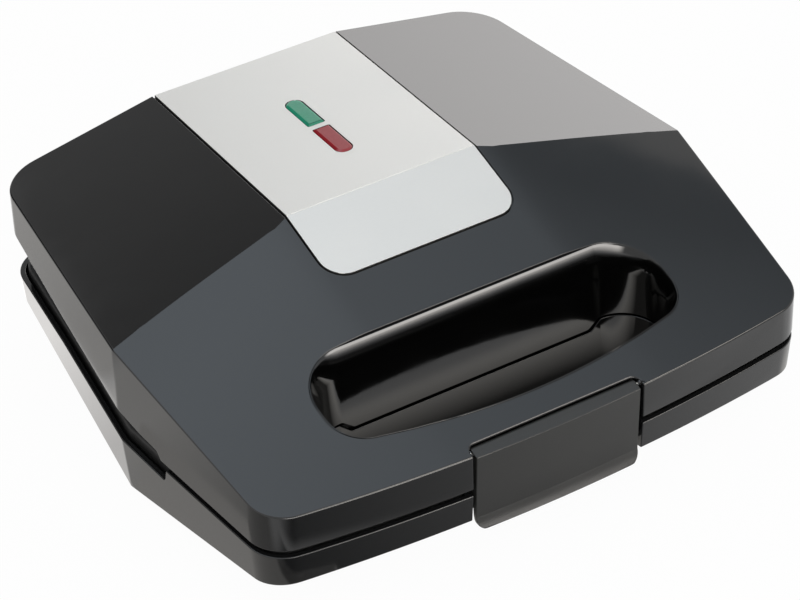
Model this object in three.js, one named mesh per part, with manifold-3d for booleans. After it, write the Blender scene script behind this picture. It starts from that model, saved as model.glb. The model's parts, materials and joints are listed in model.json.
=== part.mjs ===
// Multi snack maker: a two-slice countertop cooker with a hinged lid, standing on four feet.
// Millimetres, +Z up, +Y to the hinge at the rear, origin on the worktop under the middle.
import * as THREE from 'three';
import { mergeVertices } from 'three/addons/utils/BufferGeometryUtils.js';
import Module from 'manifold-3d';

const wasm = await Module();
wasm.setup();

// Plan outline
const HALF_WIDTH = 132;
const SIDE_CORNER_Y = -9.4;
const FRONT_CORNER = { x: 122.6, y: -108.8, radius: 16 };
const REAR_CORNER = { x: 116.8, y: 119.2, radius: 18 };
const FRONT_BOW = 10.1;
const REAR_BOW = 0.3;

// Faceted roof
const ROOF_Z = 89.2;
const CREASE_Y = 9;
const TOP_HALF_WIDTH = 43.4;
const REAR_FALL = 0.04;
const SIDE_SLOPE = 0.186;
const FRONT_SLOPE = 0.284;
const FRONT_RUN = 118;
const CROWN_FROM = 38;
const CROWN_POWER = 1.6;
const CROWN_AT_FOLD = 11.9;
const CROWN_AT_FRONT = 2.6;
const ROOF_THICKNESS = 3.4;
const WALL = 2.5;

// Heights of the parting zone, the wall edges and the keel under the base
const LID_EDGE_Z = 37.6;
const BASE_RIM_Z = 33.5;
const UPPER_FACE_Z = 35.9;
const LOWER_FACE_Z = 35.3;
const BASE_FRONT_Z = 19.6;
const KEEL_Z = 3.8;
const BASE_REAR_Z = 19.2;
const BASE_DRAFT = 0.078;

// Cooking plates with their sandwich pockets
const PLATE = { halfX: 108, front: -46, rear: 88, radius: 9, slab: 4 };
const POCKET = { inner: 7, outer: 101, front: -39.5, rear: 81.5, ridge: 4.5, depth: 9, skin: 2, taper: 7 };
const PLATE_BOSS = { radius: 4, end: 14.7, pilot: 1.9, places: [[-54, 21], [54, 21], [0, -20]] };

// Frames that carry the plates: deck, seat for the slab, collar under the reflector
const FRAME = { inset: 3.7, chamfer: 1.2, wall: 2, fit: 0.6, ledge: 3.4, collarWall: 2.4 };
const UPPER_FRAME = { face: 36.6, deck: 39.2, seat: 40.2, boss: 42.4, collar: 51.1, rim: 56 };
const LOWER_FRAME = { face: 34.6, deck: 32.3, seat: 31, boss: 28.8, collar: 20.1, rim: 24.5 };

// Heating elements, reflectors and the parts clipped behind the upper plate
const ELEMENT = { radius: 3, front: -12, rear: 48, left: -78, right: 104, z: 21 };
const REFLECTOR = {
  low: 13.6, rim: 19.8, sheet: 0.8, halfX: 101, front: -38, rear: 46, radius: 8, lip: 2,
};
const SADDLE = { radius: 3, top: 17.7, places: [[-62, -12], [62, -12], [-62, 48], [62, 48]] };
const REFLECTOR_POSTS = { radius: 4, places: [[-80, -25], [80, -25], [-80, 40], [80, 40]] };
const THERMOSTAT = { x: 30, y: 18, low: 47.2 };
const FUSE = { x: -32, y: 18, z: 49.4, radius: 2, length: 16, lead: 0.8, reach: 32 };

// Finger slot through the lid and the base, with its two liners
const SLOT = { half: 78.7, front: -101.6, rear: -52.7, rearRound: 0.522, frontRound: 0.436, bow: 10.8 };
const SLOT_DRAFT = { rearFrom: 71.7, rear: 0.11, frontFrom: 58.4, front: 0.06 };
const LINER = {
  wall: 1, proud: 0.25, flange: 4, flangeThickness: 1.8, stepHalf: 58, stepDrop: 3.4, seam: 0.6,
};

// Latch, its recess, its pin and the catch on the base
const RECESS = { half: 38.8, lip: -112.5, back: -109.8, ceiling: 53.4, radius: 3.5 };
const LATCH_AXIS = { y: -113.5, z: 51 };
const LATCH = {
  half: 37.3, barrel: 2.1, bore: 1.5, bottom: 15.8, corner: 4.5, top: 51.66, fold: 21.6, hookHalf: 19,
};
const LATCH_PIN = { radius: 1.2, half: 41 };
const CATCH = { half: 20, front: -114, low: 24.6, high: 27.4 };

// Lid hinge: two sets of a knuckle between two ears
const HINGE = { y: 111, z: 42, barrel: 4.8, bore: 2.3, pin: 2, inner: 68, outer: 92, ear: 5, play: 0.5 };

// Feet, and the screws that hold the housings to the frames
const FEET = [
  { name: 'front_left', x: -98, y: -75 },
  { name: 'front_right', x: 98, y: -75 },
  { name: 'rear_left', x: -96, y: 97 },
  { name: 'rear_right', x: 96, y: 97 },
];
const FOOT = { top: 12, bottom: 9.5, floor: 1.2, pad: 7.6, padTop: 3, headroom: 8 };
const SCREW = { shank: 1.5, head: 3, headHeight: 1.8, hole: 1.9, point: 1.5 };
const POST = { radius: 5, baseTop: 27, lidFoot: 42.7 };

// Trim strip, indicator lenses and the lamps under them
const TRIM = { half: 43.7, front: -25.5, radius: 10, thickness: 1.6, proud: 0.3, gap: 0.45, rear: 118.6 };
const LENSES = [
  { name: 'green', front: 59.9, rear: 81.1, roundRear: true, color: 0x3f9d76 },
  { name: 'red', front: 35.2, rear: 56.4, roundRear: false, color: 0xa23547 },
];
const LENS = { half: 3.8, round: 3.6, proud: 0.9, chamfer: 0.8, depth: 7 };
const LAMP = { radius: 2.6, length: 13, z: 76.4 };
const HOLDER = { half: 9, front: 31.4, rear: 85.6, low: 70.5, thickness: 1.8, wall: 2 };

// Mains parts in the base
const INLET = { z: 25.7, bore: 2.7, neck: 3.4, flange: 4.1, inside: 112.6, flangeEnd: 115.1, outside: 119.4 };
const TERMINALS = { x0: 112, x1: 121, y0: 2, y1: 34, low: 12, high: 21 };

// Clearance between neighbours, and a length beyond every face
const GAP = 0.3;
const FAR = 150;

const material = (color, roughness, metalness = 0) =>
  new THREE.MeshStandardMaterial({ color, roughness, metalness });
const glossyShell = () => material(0x2b2e31, 0.22);
const glossBlack = () => material(0x0d0d0d, 0.12);
const satinBlack = () => material(0x262625, 0.5);
const heatBlack = () => material(0x161616, 0.55);
const nonStick = () => material(0x1c1c1d, 0.6, 0.2);
const sheath = () => material(0x6d6a66, 0.5, 0.7);
const brushedSteel = () => material(0xb9bbbc, 0.35, 0.9);
const ceramic = () => material(0xded9cc, 0.5);

const model = new THREE.Group();

// Closed solids
function solid(geometry) {
  const bare = geometry.clone();
  bare.deleteAttribute('normal');
  bare.deleteAttribute('uv');
  const merged = mergeVertices(bare, 1e-4);
  return new wasm.Manifold(new wasm.Mesh({
    numProp: 3,
    vertProperties: new Float32Array(merged.attributes.position.array),
    triVerts: new Uint32Array(merged.index.array),
  }));
}

function addPart(name, shape, look) {
  const mesh = shape.getMesh();
  const geometry = new THREE.BufferGeometry();
  geometry.setAttribute('position', new THREE.BufferAttribute(new Float32Array(mesh.vertProperties), 3));
  geometry.setIndex(new THREE.BufferAttribute(new Uint32Array(mesh.triVerts), 1));
  geometry.computeVertexNormals();
  const part = new THREE.Mesh(geometry, look);
  part.name = name;
  model.add(part);
}

// A skin through rings of equal point count, closed by flat ends
function loft(rings, across = 'x', along = 'y') {
  const count = rings[0].length;
  const index = [];
  for (let ring = 0; ring < rings.length - 1; ring += 1) {
    for (let i = 0; i < count; i += 1) {
      const a = ring * count + i;
      const b = ring * count + ((i + 1) % count);
      index.push(a, b, b + count, a, b + count, a + count);
    }
  }
  const flat = (ring) => ring.map((p) => new THREE.Vector2(p[across], p[along]));
  const last = (rings.length - 1) * count;
  for (const [a, b, c] of THREE.ShapeUtils.triangulateShape(flat(rings[0]), [])) index.push(c, b, a);
  for (const [a, b, c] of THREE.ShapeUtils.triangulateShape(flat(rings.at(-1)), [])) {
    index.push(last + a, last + b, last + c);
  }
  const geometry = new THREE.BufferGeometry();
  const positions = rings.flat().flatMap((p) => p.toArray());
  geometry.setAttribute('position', new THREE.Float32BufferAttribute(positions, 3));
  geometry.setIndex(index);
  return solid(geometry);
}

const ringAt = (outline, height) =>
  outline.map((p) => new THREE.Vector3(p.x, p.y, typeof height === 'function' ? height(p.x, p.y) : height));
const prism = (outline, low, high) => loft([ringAt(outline, low), ringAt(outline, high)]);

// A polygon, counter-clockwise, with an arc at each corner that has a radius
function roundedPolygon(corners, steps = 4) {
  const points = [];
  corners.forEach((corner, i) => {
    const here = new THREE.Vector2(corner.x, corner.y);
    if (!corner.radius) {
      points.push(here);
      return;
    }
    const before = corners[(i + corners.length - 1) % corners.length];
    const after = corners[(i + 1) % corners.length];
    const back = new THREE.Vector2(before.x, before.y).sub(here).normalize();
    const ahead = new THREE.Vector2(after.x, after.y).sub(here).normalize();
    const half = Math.acos(THREE.MathUtils.clamp(back.dot(ahead), -1, 1)) / 2;
    const toCentre = back.clone().add(ahead).normalize().multiplyScalar(corner.radius / Math.sin(half));
    const centre = toCentre.add(here);
    const start = back.multiplyScalar(corner.radius / Math.tan(half)).add(here).sub(centre);
    const turn = Math.PI - 2 * half;
    for (let step = 0; step <= steps; step += 1) {
      points.push(start.clone().rotateAround(new THREE.Vector2(), (turn * step) / steps).add(centre));
    }
  });
  return points;
}

// Moves every side of an outline inwards, or outwards when the distance is negative
function inset(outline, distance) {
  const count = outline.length;
  return outline.map((point, i) => {
    const before = point.clone().sub(outline[(i + count - 1) % count]).normalize();
    const after = outline[(i + 1) % count].clone().sub(point).normalize();
    const inward = new THREE.Vector2(-before.y - after.y, before.x + after.x);
    return point.clone().add(inward.multiplyScalar(distance / (1 + before.dot(after))));
  });
}

const rectangle = (x0, y0, x1, y1, radius = 0, steps = 4) => roundedPolygon([
  { x: x0, y: y0, radius }, { x: x1, y: y0, radius }, { x: x1, y: y1, radius }, { x: x0, y: y1, radius },
], steps);
const block = (x0, y0, z0, x1, y1, z1, radius = 0) => prism(rectangle(x0, y0, x1, y1, radius), z0, z1);

// A profile in the YZ plane, run along X
function alongX(profile, x0, x1) {
  const shape = new THREE.Shape(profile.map(([y, z]) => new THREE.Vector2(y, z)));
  const geometry = new THREE.ExtrudeGeometry(shape, { depth: x1 - x0, bevelEnabled: false });
  const place = new THREE.Matrix4().makeBasis(
    new THREE.Vector3(0, 1, 0), new THREE.Vector3(0, 0, 1), new THREE.Vector3(1, 0, 0),
  );
  return solid(geometry.applyMatrix4(place).translate(x0, 0, 0));
}

// A profile of radius and height, turned about an axis that stands at x, y
function turned(profile, x, y, low, sides) {
  const points = profile.map(([radius, height]) => new THREE.Vector2(radius, height));
  return solid(new THREE.LatheGeometry(points, sides).rotateX(Math.PI / 2).translate(x, y, low));
}

function cylinderX(radius, y, z, x0, x1, sides = 16) {
  const geometry = new THREE.CylinderGeometry(radius, radius, x1 - x0, sides);
  return solid(geometry.rotateZ(Math.PI / 2).translate((x0 + x1) / 2, y, z));
}

function cylinderZ(radius, x, y, z0, z1, sides = 12, topRadius = radius) {
  const geometry = new THREE.CylinderGeometry(topRadius, radius, z1 - z0, sides);
  return solid(geometry.rotateX(Math.PI / 2).translate(x, y, (z0 + z1) / 2));
}

const joined = (shapes) => shapes.reduce((sum, shape) => sum.add(shape));
const without = (shape, cuts) => cuts.reduce((rest, cut) => rest.subtract(cut), shape);
const pair = (shape) => shape.add(shape.mirror([1, 0, 0]));
const atPlaces = (places, make) => joined(places.map(([x, y]) => make(x, y)));
const FOOT_PLACES = FEET.map(({ x, y }) => [x, y]);

// What the lid holds mirrors what the base holds, across the parting between the plates
const aboveParting = (shape) => shape.mirror([0, 0, 1]).translate([0, 0, UPPER_FACE_Z + LOWER_FACE_Z]);

// Plan outline: bowed front, rounded corners, a crisp corner on each side
function planOutline() {
  const bowRadius = (FRONT_CORNER.x ** 2 + FRONT_BOW ** 2) / (2 * FRONT_BOW);
  const bowAt = (share) => {
    const x = FRONT_CORNER.x * share;
    return { x, y: FRONT_CORNER.y - FRONT_BOW + bowRadius - Math.sqrt(bowRadius ** 2 - x ** 2) };
  };
  const rearFold = { x: TRIM.half + 1.8, y: REAR_CORNER.y + REAR_BOW };
  return roundedPolygon([
    ...[-0.75, -0.5, -0.25, 0, 0.25, 0.5, 0.75].map(bowAt),
    FRONT_CORNER, { x: HALF_WIDTH, y: SIDE_CORNER_Y }, REAR_CORNER,
    rearFold, { ...rearFold, x: -rearFold.x },
    { ...REAR_CORNER, x: -REAR_CORNER.x }, { x: -HALF_WIDTH, y: SIDE_CORNER_Y },
    { ...FRONT_CORNER, x: -FRONT_CORNER.x },
  ]);
}
const PLAN = planOutline();

// Roof height: a flat top strip, two falling side facets and a front facet that is flat in the middle
// and crowned towards its ends
const gableHeight = (x, y) =>
  ROOF_Z - REAR_FALL * (y - CREASE_Y) - SIDE_SLOPE * Math.max(0, Math.abs(x) - TOP_HALF_WIDTH);
function frontHeight(x, y) {
  const crown = THREE.MathUtils.mapLinear(y, CREASE_Y, CREASE_Y - FRONT_RUN, CROWN_AT_FOLD, CROWN_AT_FRONT);
  const share = Math.max(0, Math.abs(x) - CROWN_FROM) / (HALF_WIDTH - CROWN_FROM);
  return ROOF_Z + FRONT_SLOPE * (y - CREASE_Y) - crown * share ** CROWN_POWER;
}
const roofHeight = (x, y) => Math.min(gableHeight(x, y), frontHeight(x, y));

// Everything under the roof, lowered by a distance; the crown is cut into flat columns
function underRoof(lowered, columns = 16) {
  const gableRing = (y) => {
    const top = (x) => new THREE.Vector3(x, y, gableHeight(x, y) - lowered);
    return [
      new THREE.Vector3(-FAR, y, -FAR), new THREE.Vector3(FAR, y, -FAR),
      ...[FAR, TOP_HALF_WIDTH, -TOP_HALF_WIDTH, -FAR].map(top),
    ];
  };
  const frontRing = (y, height) => {
    const ring = [new THREE.Vector3(-FAR, y, -FAR), new THREE.Vector3(FAR, y, -FAR)];
    for (let column = 0; column <= columns; column += 1) {
      const x = FAR - (2 * FAR * column) / columns;
      ring.push(new THREE.Vector3(x, y, height(x, y) - lowered));
    }
    return ring;
  };
  const gable = loft([gableRing(FAR), gableRing(-FAR)], 'x', 'z');
  const front = loft([
    frontRing(FAR, () => 2 * ROOF_Z),
    frontRing(CREASE_Y + 20, frontHeight),
    frontRing(-FAR, frontHeight),
  ], 'x', 'z');
  return gable.intersect(front);
}
const shellInside = () => underRoof(ROOF_THICKNESS, 10);
const clearOfRoof = () => underRoof(ROOF_THICKNESS + GAP, 10);

// Finger slot: a straight rear side, a bowed front and large round ends, narrowing downwards
function slotRing(z, grow) {
  const rear = SLOT.rear - SLOT_DRAFT.rear * (SLOT_DRAFT.rearFrom - z) + grow;
  const front = SLOT.front + SLOT_DRAFT.front * (SLOT_DRAFT.frontFrom - z) - grow;
  const half = SLOT.half - SLOT_DRAFT.front * (SLOT_DRAFT.frontFrom - z) + grow;
  const side = front + SLOT.bow;
  const frontRadius = SLOT.frontRound * (rear - side);
  const rearRadius = SLOT.rearRound * (rear - side);
  const bowAt = (share) => ({ x: half * share, y: side - SLOT.bow * (1 - share ** 2) });
  return ringAt(roundedPolygon([
    ...[-0.6, -0.3, 0, 0.3, 0.6].map(bowAt),
    { x: half, y: side, radius: frontRadius }, { x: half, y: rear, radius: rearRadius },
    { x: -half, y: rear, radius: rearRadius }, { x: -half, y: side, radius: frontRadius },
  ]), z);
}
const slotSolid = (low, high, grow) => loft([slotRing(low, grow), slotRing(high, grow)]);
const slotHole = () => slotSolid(-10, FAR, LINER.wall + GAP);

// The notch for the latch: open at the front, deeper under the roof's lip
function latchRecess(grow) {
  const half = RECESS.half + grow;
  const radius = RECESS.radius + grow;
  const notch = prism(roundedPolygon([
    { x: -half, y: -FAR }, { x: half, y: -FAR },
    { x: half, y: RECESS.lip + grow, radius }, { x: -half, y: RECESS.lip + grow, radius },
  ]), -FAR, FAR);
  return notch.add(block(-half, -FAR, -FAR, half, RECESS.back + grow, RECESS.ceiling + grow));
}

// Edge lines of the lid wall, the base wall and the keel, seen from the side: y, z
const LID_EDGE = [
  [-38, LID_EDGE_Z], [-35.5, 40.4], [-24, 41.2], [SIDE_CORNER_Y, 43.8], [51, 46.8], [REAR_CORNER.y, 52.4],
];
const BASE_EDGE = [
  [-41, BASE_RIM_Z], [-38.8, 27.4], [SIDE_CORNER_Y, 28.5], [55, 31.5], [REAR_CORNER.y, 30],
];
const KEEL = [
  [FRONT_CORNER.y, BASE_FRONT_Z], [SIDE_CORNER_Y, KEEL_Z], [REAR_CORNER.y, BASE_REAR_Z],
];
const sideLine = (line, far) => [[-FAR, line[0][1]], ...line, [FAR, line.at(-1)[1]], [FAR, far], [-FAR, far]];
const belowLidEdge = alongX(sideLine(LID_EDGE, -FAR).reverse(), -FAR, FAR);
const aboveBaseEdge = alongX(sideLine(BASE_EDGE, FAR), -FAR, FAR);
const aboveKeel = (raised) =>
  alongX(sideLine(KEEL.map(([y, z]) => [y, z + raised]), FAR + raised), -FAR, FAR);

// Lid shell with its rolled top edge, trim seat, slot, latch notch and posts
function lidShell() {
  const softEdge = [[0, -1.3], [0.15, -0.62], [0.55, -0.18], [2.4, 0.52]];
  const rings = softEdge.map(([distance, rise]) =>
    ringAt(inset(PLAN, distance), (x, y) => roofHeight(x, y) + rise));
  const crest = ringAt(inset(PLAN, softEdge.at(-1)[0]), ROOF_Z + 10);
  const outer = loft([ringAt(PLAN, 0), ...rings, crest]).intersect(underRoof(0));
  const posts = atPlaces(FOOT_PLACES, (x, y) => cylinderZ(POST.radius, x, y, POST.lidFoot, ROOF_Z));
  const reflectorPosts = atPlaces(REFLECTOR_POSTS.places, (x, y) =>
    aboveParting(cylinderZ(REFLECTOR_POSTS.radius, x, y, -FAR, REFLECTOR.low - GAP, 10)));
  const hollow = prism(inset(PLAN, WALL), -FAR, FAR).intersect(shellInside());
  const pinHole = cylinderX(LATCH_PIN.radius + GAP, LATCH_AXIS.y, LATCH_AXIS.z,
    -LATCH_PIN.half - GAP, LATCH_PIN.half + GAP, 12);
  return without(outer, [
    without(hollow, [latchRecess(WALL), posts, reflectorPosts]),
    prism(inset(trimOutline(FAR), -TRIM.gap), 0, FAR).subtract(underRoof(TRIM.thickness)),
    ...LENSES.map(lensHole),
    atPlaces(FOOT_PLACES, (x, y) => cylinderZ(SCREW.hole, x, y, 0, 55, 8)),
    slotHole(),
    latchRecess(0),
    pinHole,
    belowLidEdge,
  ]);
}

// Silver strip along the top, folded down over the front facet
function trimOutline(rear) {
  const { half, front, radius } = TRIM;
  return roundedPolygon([
    { x: -half, y: front, radius }, { x: half, y: front, radius },
    { x: half, y: rear }, { x: -half, y: rear },
  ]);
}

function trimPanel() {
  const strip = prism(trimOutline(TRIM.rear), 0, FAR).intersect(underRoof(-TRIM.proud));
  return without(strip, [underRoof(TRIM.thickness - GAP), ...LENSES.map(lensHole)]);
}

// Indicator lenses, each a bar with one round end
function lensOutline({ front, rear, roundRear }) {
  const frontRadius = roundRear ? 0 : LENS.round;
  const rearRadius = roundRear ? LENS.round : 0;
  return roundedPolygon([
    { x: -LENS.half, y: front, radius: frontRadius }, { x: LENS.half, y: front, radius: frontRadius },
    { x: LENS.half, y: rear, radius: rearRadius }, { x: -LENS.half, y: rear, radius: rearRadius },
  ]);
}
const lensHole = (lens) => prism(inset(lensOutline(lens), -GAP), 0, FAR);

function lensSolid(lens) {
  const outline = lensOutline(lens);
  const above = (rise) => (x, y) => gableHeight(x, y) + rise;
  return loft([
    ringAt(outline, above(-LENS.depth)),
    ringAt(outline, above(TRIM.proud)),
    ringAt(inset(outline, LENS.chamfer), above(LENS.proud)),
  ]);
}

// Holder that hangs from the roof, with a small glow lamp behind each lens
const lampMiddle = ({ front, rear }) => (front + rear) / 2;

function lampHolder() {
  const { half, front, rear, low, thickness, wall } = HOLDER;
  const shelf = block(-half, front, low, half, rear, low + thickness);
  const ends = [front, rear - wall].map((y) => block(-half, y, low, half, y + wall, FAR));
  const cradles = LENSES.map((lens) => {
    const y = lampMiddle(lens);
    return block(-half / 2, y - wall, low + thickness / 2, half / 2, y + wall, LAMP.z);
  });
  const seats = LENSES.map((lens) => lampBody(lens, LAMP.radius + GAP, LAMP.length + 8));
  return without(joined([shelf, ...ends, ...cradles]), seats).intersect(clearOfRoof());
}

function lampBody(lens, radius, length) {
  const profile = [
    [0, -length / 2], [radius, -length / 2], [radius, length / 2 - radius],
    [radius * 0.7, length / 2 - radius * 0.3], [0, length / 2],
  ].map(([r, h]) => new THREE.Vector2(r, h));
  return solid(new THREE.LatheGeometry(profile, 12).translate(0, lampMiddle(lens), LAMP.z));
}

// Slot liners: the upper one hangs in the lid and reaches lower over its middle stretch
function liner(sleeve, flangeLow) {
  const flange = slotSolid(flangeLow, flangeLow + LINER.flangeThickness, LINER.wall + LINER.flange)
    .intersect(block(-FAR, -FAR, 0, FAR, PLATE.front - 8, FAR));
  return without(sleeve.add(flange), [slotSolid(-10, FAR + 1, 0), latchRecess(WALL + GAP)]);
}

function upperLiner() {
  const sleeve = slotSolid(UPPER_FRAME.face - LINER.stepDrop, FAR, LINER.wall)
    .intersect(underRoof(-LINER.proud));
  const ends = pair(block(LINER.stepHalf, -FAR, 0, FAR, 0, UPPER_FRAME.face - LINER.seam));
  return liner(sleeve, UPPER_FRAME.deck + GAP).subtract(ends);
}

function lowerLiner() {
  const seam = LOWER_FRAME.face + LINER.seam;
  const half = LINER.stepHalf + LINER.seam;
  const sleeve = slotSolid(0, seam, LINER.wall).intersect(aboveKeel(0));
  const middle = block(-half, -FAR, seam - LINER.stepDrop, half, 0, FAR);
  return liner(sleeve, LOWER_FRAME.deck - GAP - LINER.flangeThickness).subtract(middle);
}

// Frames round the plates, with the hinge moulded on
function plateOutline(grow) {
  const { halfX, front, rear, radius } = PLATE;
  return rectangle(-halfX - grow, front - grow, halfX + grow, rear + grow, radius + grow);
}
const collarOutline = () => plateOutline(FRAME.fit + FRAME.collarWall);
const hingeBore = () => pair(cylinderX(HINGE.bore, HINGE.y, HINGE.z, HINGE.inner - 8, HINGE.outer + 8, 12));

function upperFrame() {
  const { face, deck, seat, boss, collar, rim } = UPPER_FRAME;
  const body = loft([
    ringAt(inset(PLAN, FRAME.inset + FRAME.chamfer), face),
    ringAt(inset(PLAN, FRAME.inset), face + FRAME.chamfer),
    ringAt(inset(PLAN, FRAME.inset), rim),
  ]).intersect(clearOfRoof());
  const knuckle = { x0: HINGE.inner + HINGE.ear + HINGE.play, x1: HINGE.outer - HINGE.ear - HINGE.play };
  const barrel = cylinderX(HINGE.barrel, HINGE.y, HINGE.z, knuckle.x0, knuckle.x1);
  const web = block(knuckle.x0, HINGE.y - 9, deck - 1.5, knuckle.x1, HINGE.y, HINGE.z + 3);
  const shape = without(body, [
    prism(inset(PLAN, FRAME.inset + FRAME.wall), deck, FAR).subtract(prism(collarOutline(), 0, collar)),
    prism(plateOutline(FRAME.fit), 0, seat),
    prism(plateOutline(FRAME.fit), boss, FAR),
    prism(plateOutline(-FRAME.ledge), 0, FAR),
    slotHole(),
    latchRecess(WALL + GAP),
    pair(block(HINGE.inner - 1, HINGE.y - 7.5, 0, HINGE.outer + 1, FAR, FAR)),
  ]);
  const bosses = atPlaces(FOOT_PLACES, (x, y) => cylinderZ(POST.radius, x, y, face, boss));
  return without(joined([shape, bosses, pair(barrel.add(web))]), [
    hingeBore(),
    atPlaces(FOOT_PLACES, (x, y) => cylinderZ(SCREW.hole, x, y, 0, 60, 8)),
    atPlaces(FOOT_PLACES, (x, y) => cylinderZ(SCREW.head + 0.4, x, y, 0, deck)),
  ]);
}

function lowerFrame() {
  const { face, deck, seat, boss, collar, rim } = LOWER_FRAME;
  const body = loft([
    ringAt(inset(PLAN, FRAME.inset), collar),
    ringAt(inset(PLAN, FRAME.inset), face - FRAME.chamfer),
    ringAt(inset(PLAN, FRAME.inset + FRAME.chamfer), face),
  ]);
  const collarColumn = prism(collarOutline(), 0, FAR);
  const barrel = cylinderX(HINGE.barrel, HINGE.y, HINGE.z, HINGE.inner, HINGE.inner + HINGE.ear);
  const ear = barrel.add(
    block(HINGE.inner, HINGE.y - HINGE.barrel, deck, HINGE.inner + HINGE.ear, HINGE.y + 3.4, HINGE.z),
  );
  const shape = without(body, [
    prism(inset(PLAN, FRAME.inset + FRAME.wall), 0, deck).subtract(collarColumn),
    prism(inset(PLAN, 0), 0, rim).subtract(collarColumn),
    prism(plateOutline(FRAME.fit), seat, FAR),
    prism(plateOutline(FRAME.fit), 0, boss),
    prism(plateOutline(-FRAME.ledge), 0, FAR),
    slotHole(),
    latchRecess(WALL + GAP),
    block(-INLET.flange - 1, HINGE.y - 1, 0, INLET.flange + 1, FAR, INLET.z + 5.3),
  ]);
  const bosses = atPlaces(FOOT_PLACES, (x, y) => cylinderZ(POST.radius, x, y, POST.baseTop + GAP, face));
  const ears = pair(ear.add(ear.translate([HINGE.outer - HINGE.inner - HINGE.ear, 0, 0])));
  return without(joined([shape, bosses, ears]), [
    hingeBore(),
    atPlaces(FOOT_PLACES, (x, y) => cylinderZ(SCREW.hole, x, y, 0, face - 1.6, 8)),
  ]);
}

// Cooking plates: a slab with four triangular sandwich pockets pressed out of it
function pocketCorners(mirrored, atRear) {
  const { inner, outer, front, rear, ridge } = POCKET;
  const corners = atRear
    ? [[inner, rear], [inner, front + ridge], [outer - ridge, rear]]
    : [[outer, front], [outer, rear - ridge], [inner + ridge, front]];
  return mirrored
    ? corners.map(([x, y]) => new THREE.Vector2(-x, y)).reverse()
    : corners.map(([x, y]) => new THREE.Vector2(x, y));
}

function pocketSolid(corners, grow, depth) {
  const rounded = (distance, radius) =>
    roundedPolygon(inset(corners, distance).map(({ x, y }) => ({ x, y, radius })));
  return loft([
    ringAt(rounded(POCKET.taper - grow, 3 + grow), LOWER_FACE_Z - depth),
    ringAt(rounded(-grow, 6 + grow), LOWER_FACE_Z),
  ]);
}

function lowerPlate() {
  const pockets = [[false, false], [false, true], [true, false], [true, true]]
    .map(([mirrored, atRear]) => pocketCorners(mirrored, atRear));
  const slab = prism(plateOutline(0), LOWER_FACE_Z - PLATE.slab, LOWER_FACE_Z);
  const bulges = pockets.map((corners) => pocketSolid(corners, POCKET.skin, POCKET.depth + POCKET.skin));
  const bosses = atPlaces(PLATE_BOSS.places, (x, y) =>
    cylinderZ(PLATE_BOSS.radius, x, y, PLATE_BOSS.end, LOWER_FACE_Z - PLATE.slab / 2, 10));
  return without(joined([slab, ...bulges, bosses]), [
    ...pockets.map((corners) => pocketSolid(corners, 0, POCKET.depth)),
    atPlaces(PLATE_BOSS.places, (x, y) => cylinderZ(PLATE_BOSS.pilot, x, y, 0, PLATE_BOSS.end + 9, 8)),
  ]);
}

// Heating element: one tube bent into a long loop, its cold ends at the right side
function lowerElement() {
  const { front, rear, left, right, radius, z } = ELEMENT;
  const bulge = left - (rear - front) * 0.55;
  const at = (x, y) => new THREE.Vector3(x, y, z);
  const loop = new THREE.CurvePath();
  loop.add(new THREE.LineCurve3(at(right, front), at(left, front)));
  loop.add(new THREE.CubicBezierCurve3(at(left, front), at(bulge, front), at(bulge, rear), at(left, rear)));
  loop.add(new THREE.LineCurve3(at(left, rear), at(right, rear)));
  const circle = new THREE.Path().absarc(0, 0, radius, 0, 2 * Math.PI).getPoints(4);
  const section = new THREE.Shape(circle.slice(0, -1));
  return solid(new THREE.ExtrudeGeometry(section, { steps: 20, extrudePath: loop, bevelEnabled: false }));
}

// Reflector: a pressed tray that bears on the frame's collar and is screwed to the plate
function lowerReflector() {
  const { low, rim, sheet, halfX, front, rear, radius, lip } = REFLECTOR;
  const floor = rectangle(-halfX, front, halfX, rear, radius);
  const mouth = plateOutline(lip);
  const tray = loft([ringAt(floor, low), ringAt(mouth, rim)]);
  const dish = loft([ringAt(inset(floor, sheet), low + sheet), ringAt(inset(mouth, sheet), rim + sheet)]);
  const saddles = atPlaces(SADDLE.places, (x, y) =>
    cylinderZ(SADDLE.radius, x, y, low + sheet / 2, SADDLE.top, 8));
  const screwHoles = atPlaces(PLATE_BOSS.places, (x, y) => cylinderZ(SCREW.hole, x, y, 0, FAR, 8));
  return without(tray.subtract(dish).add(saddles), [screwHoles]);
}

// Base shell: drafted walls over a folded keel, with posts, a catch and the inlet's hole
function baseShell() {
  const ring = (z, thickness) =>
    ringAt(inset(PLAN, 0.1 + BASE_DRAFT * (BASE_RIM_Z - z) + thickness), z);
  const outer = loft([ring(0, 0), ring(40, 0)]).intersect(aboveKeel(0));
  const hollow = loft([ring(0, WALL), ring(40, WALL)]).intersect(aboveKeel(WALL));
  const { x0, x1, y0, y1, low } = TERMINALS;
  const inside = [
    latchRecess(WALL),
    atPlaces(FOOT_PLACES, (x, y) => cylinderZ(POST.radius, x, y, 0, POST.baseTop)),
    atPlaces(REFLECTOR_POSTS.places, (x, y) =>
      cylinderZ(REFLECTOR_POSTS.radius, x, y, 0, REFLECTOR.low - GAP, 10)),
    block(x0 + 1, y0 + 2, 0, x1 - 1, y1 - 2, low - GAP),
  ];
  const inletHole = solid(new THREE.CylinderGeometry(INLET.neck + GAP, INLET.neck + GAP, 20, 12)
    .translate(0, REAR_CORNER.y, INLET.z));
  const catchBar = block(-CATCH.half, CATCH.front, CATCH.low, CATCH.half, RECESS.back + 1, CATCH.high);
  return without(outer, [
    without(hollow, inside),
    slotHole(),
    latchRecess(0),
    atPlaces(FOOT_PLACES, (x, y) => cylinderZ(SCREW.hole, x, y, 0, 60, 8)),
    inletHole,
    aboveBaseEdge,
  ]).add(catchBar);
}

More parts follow.
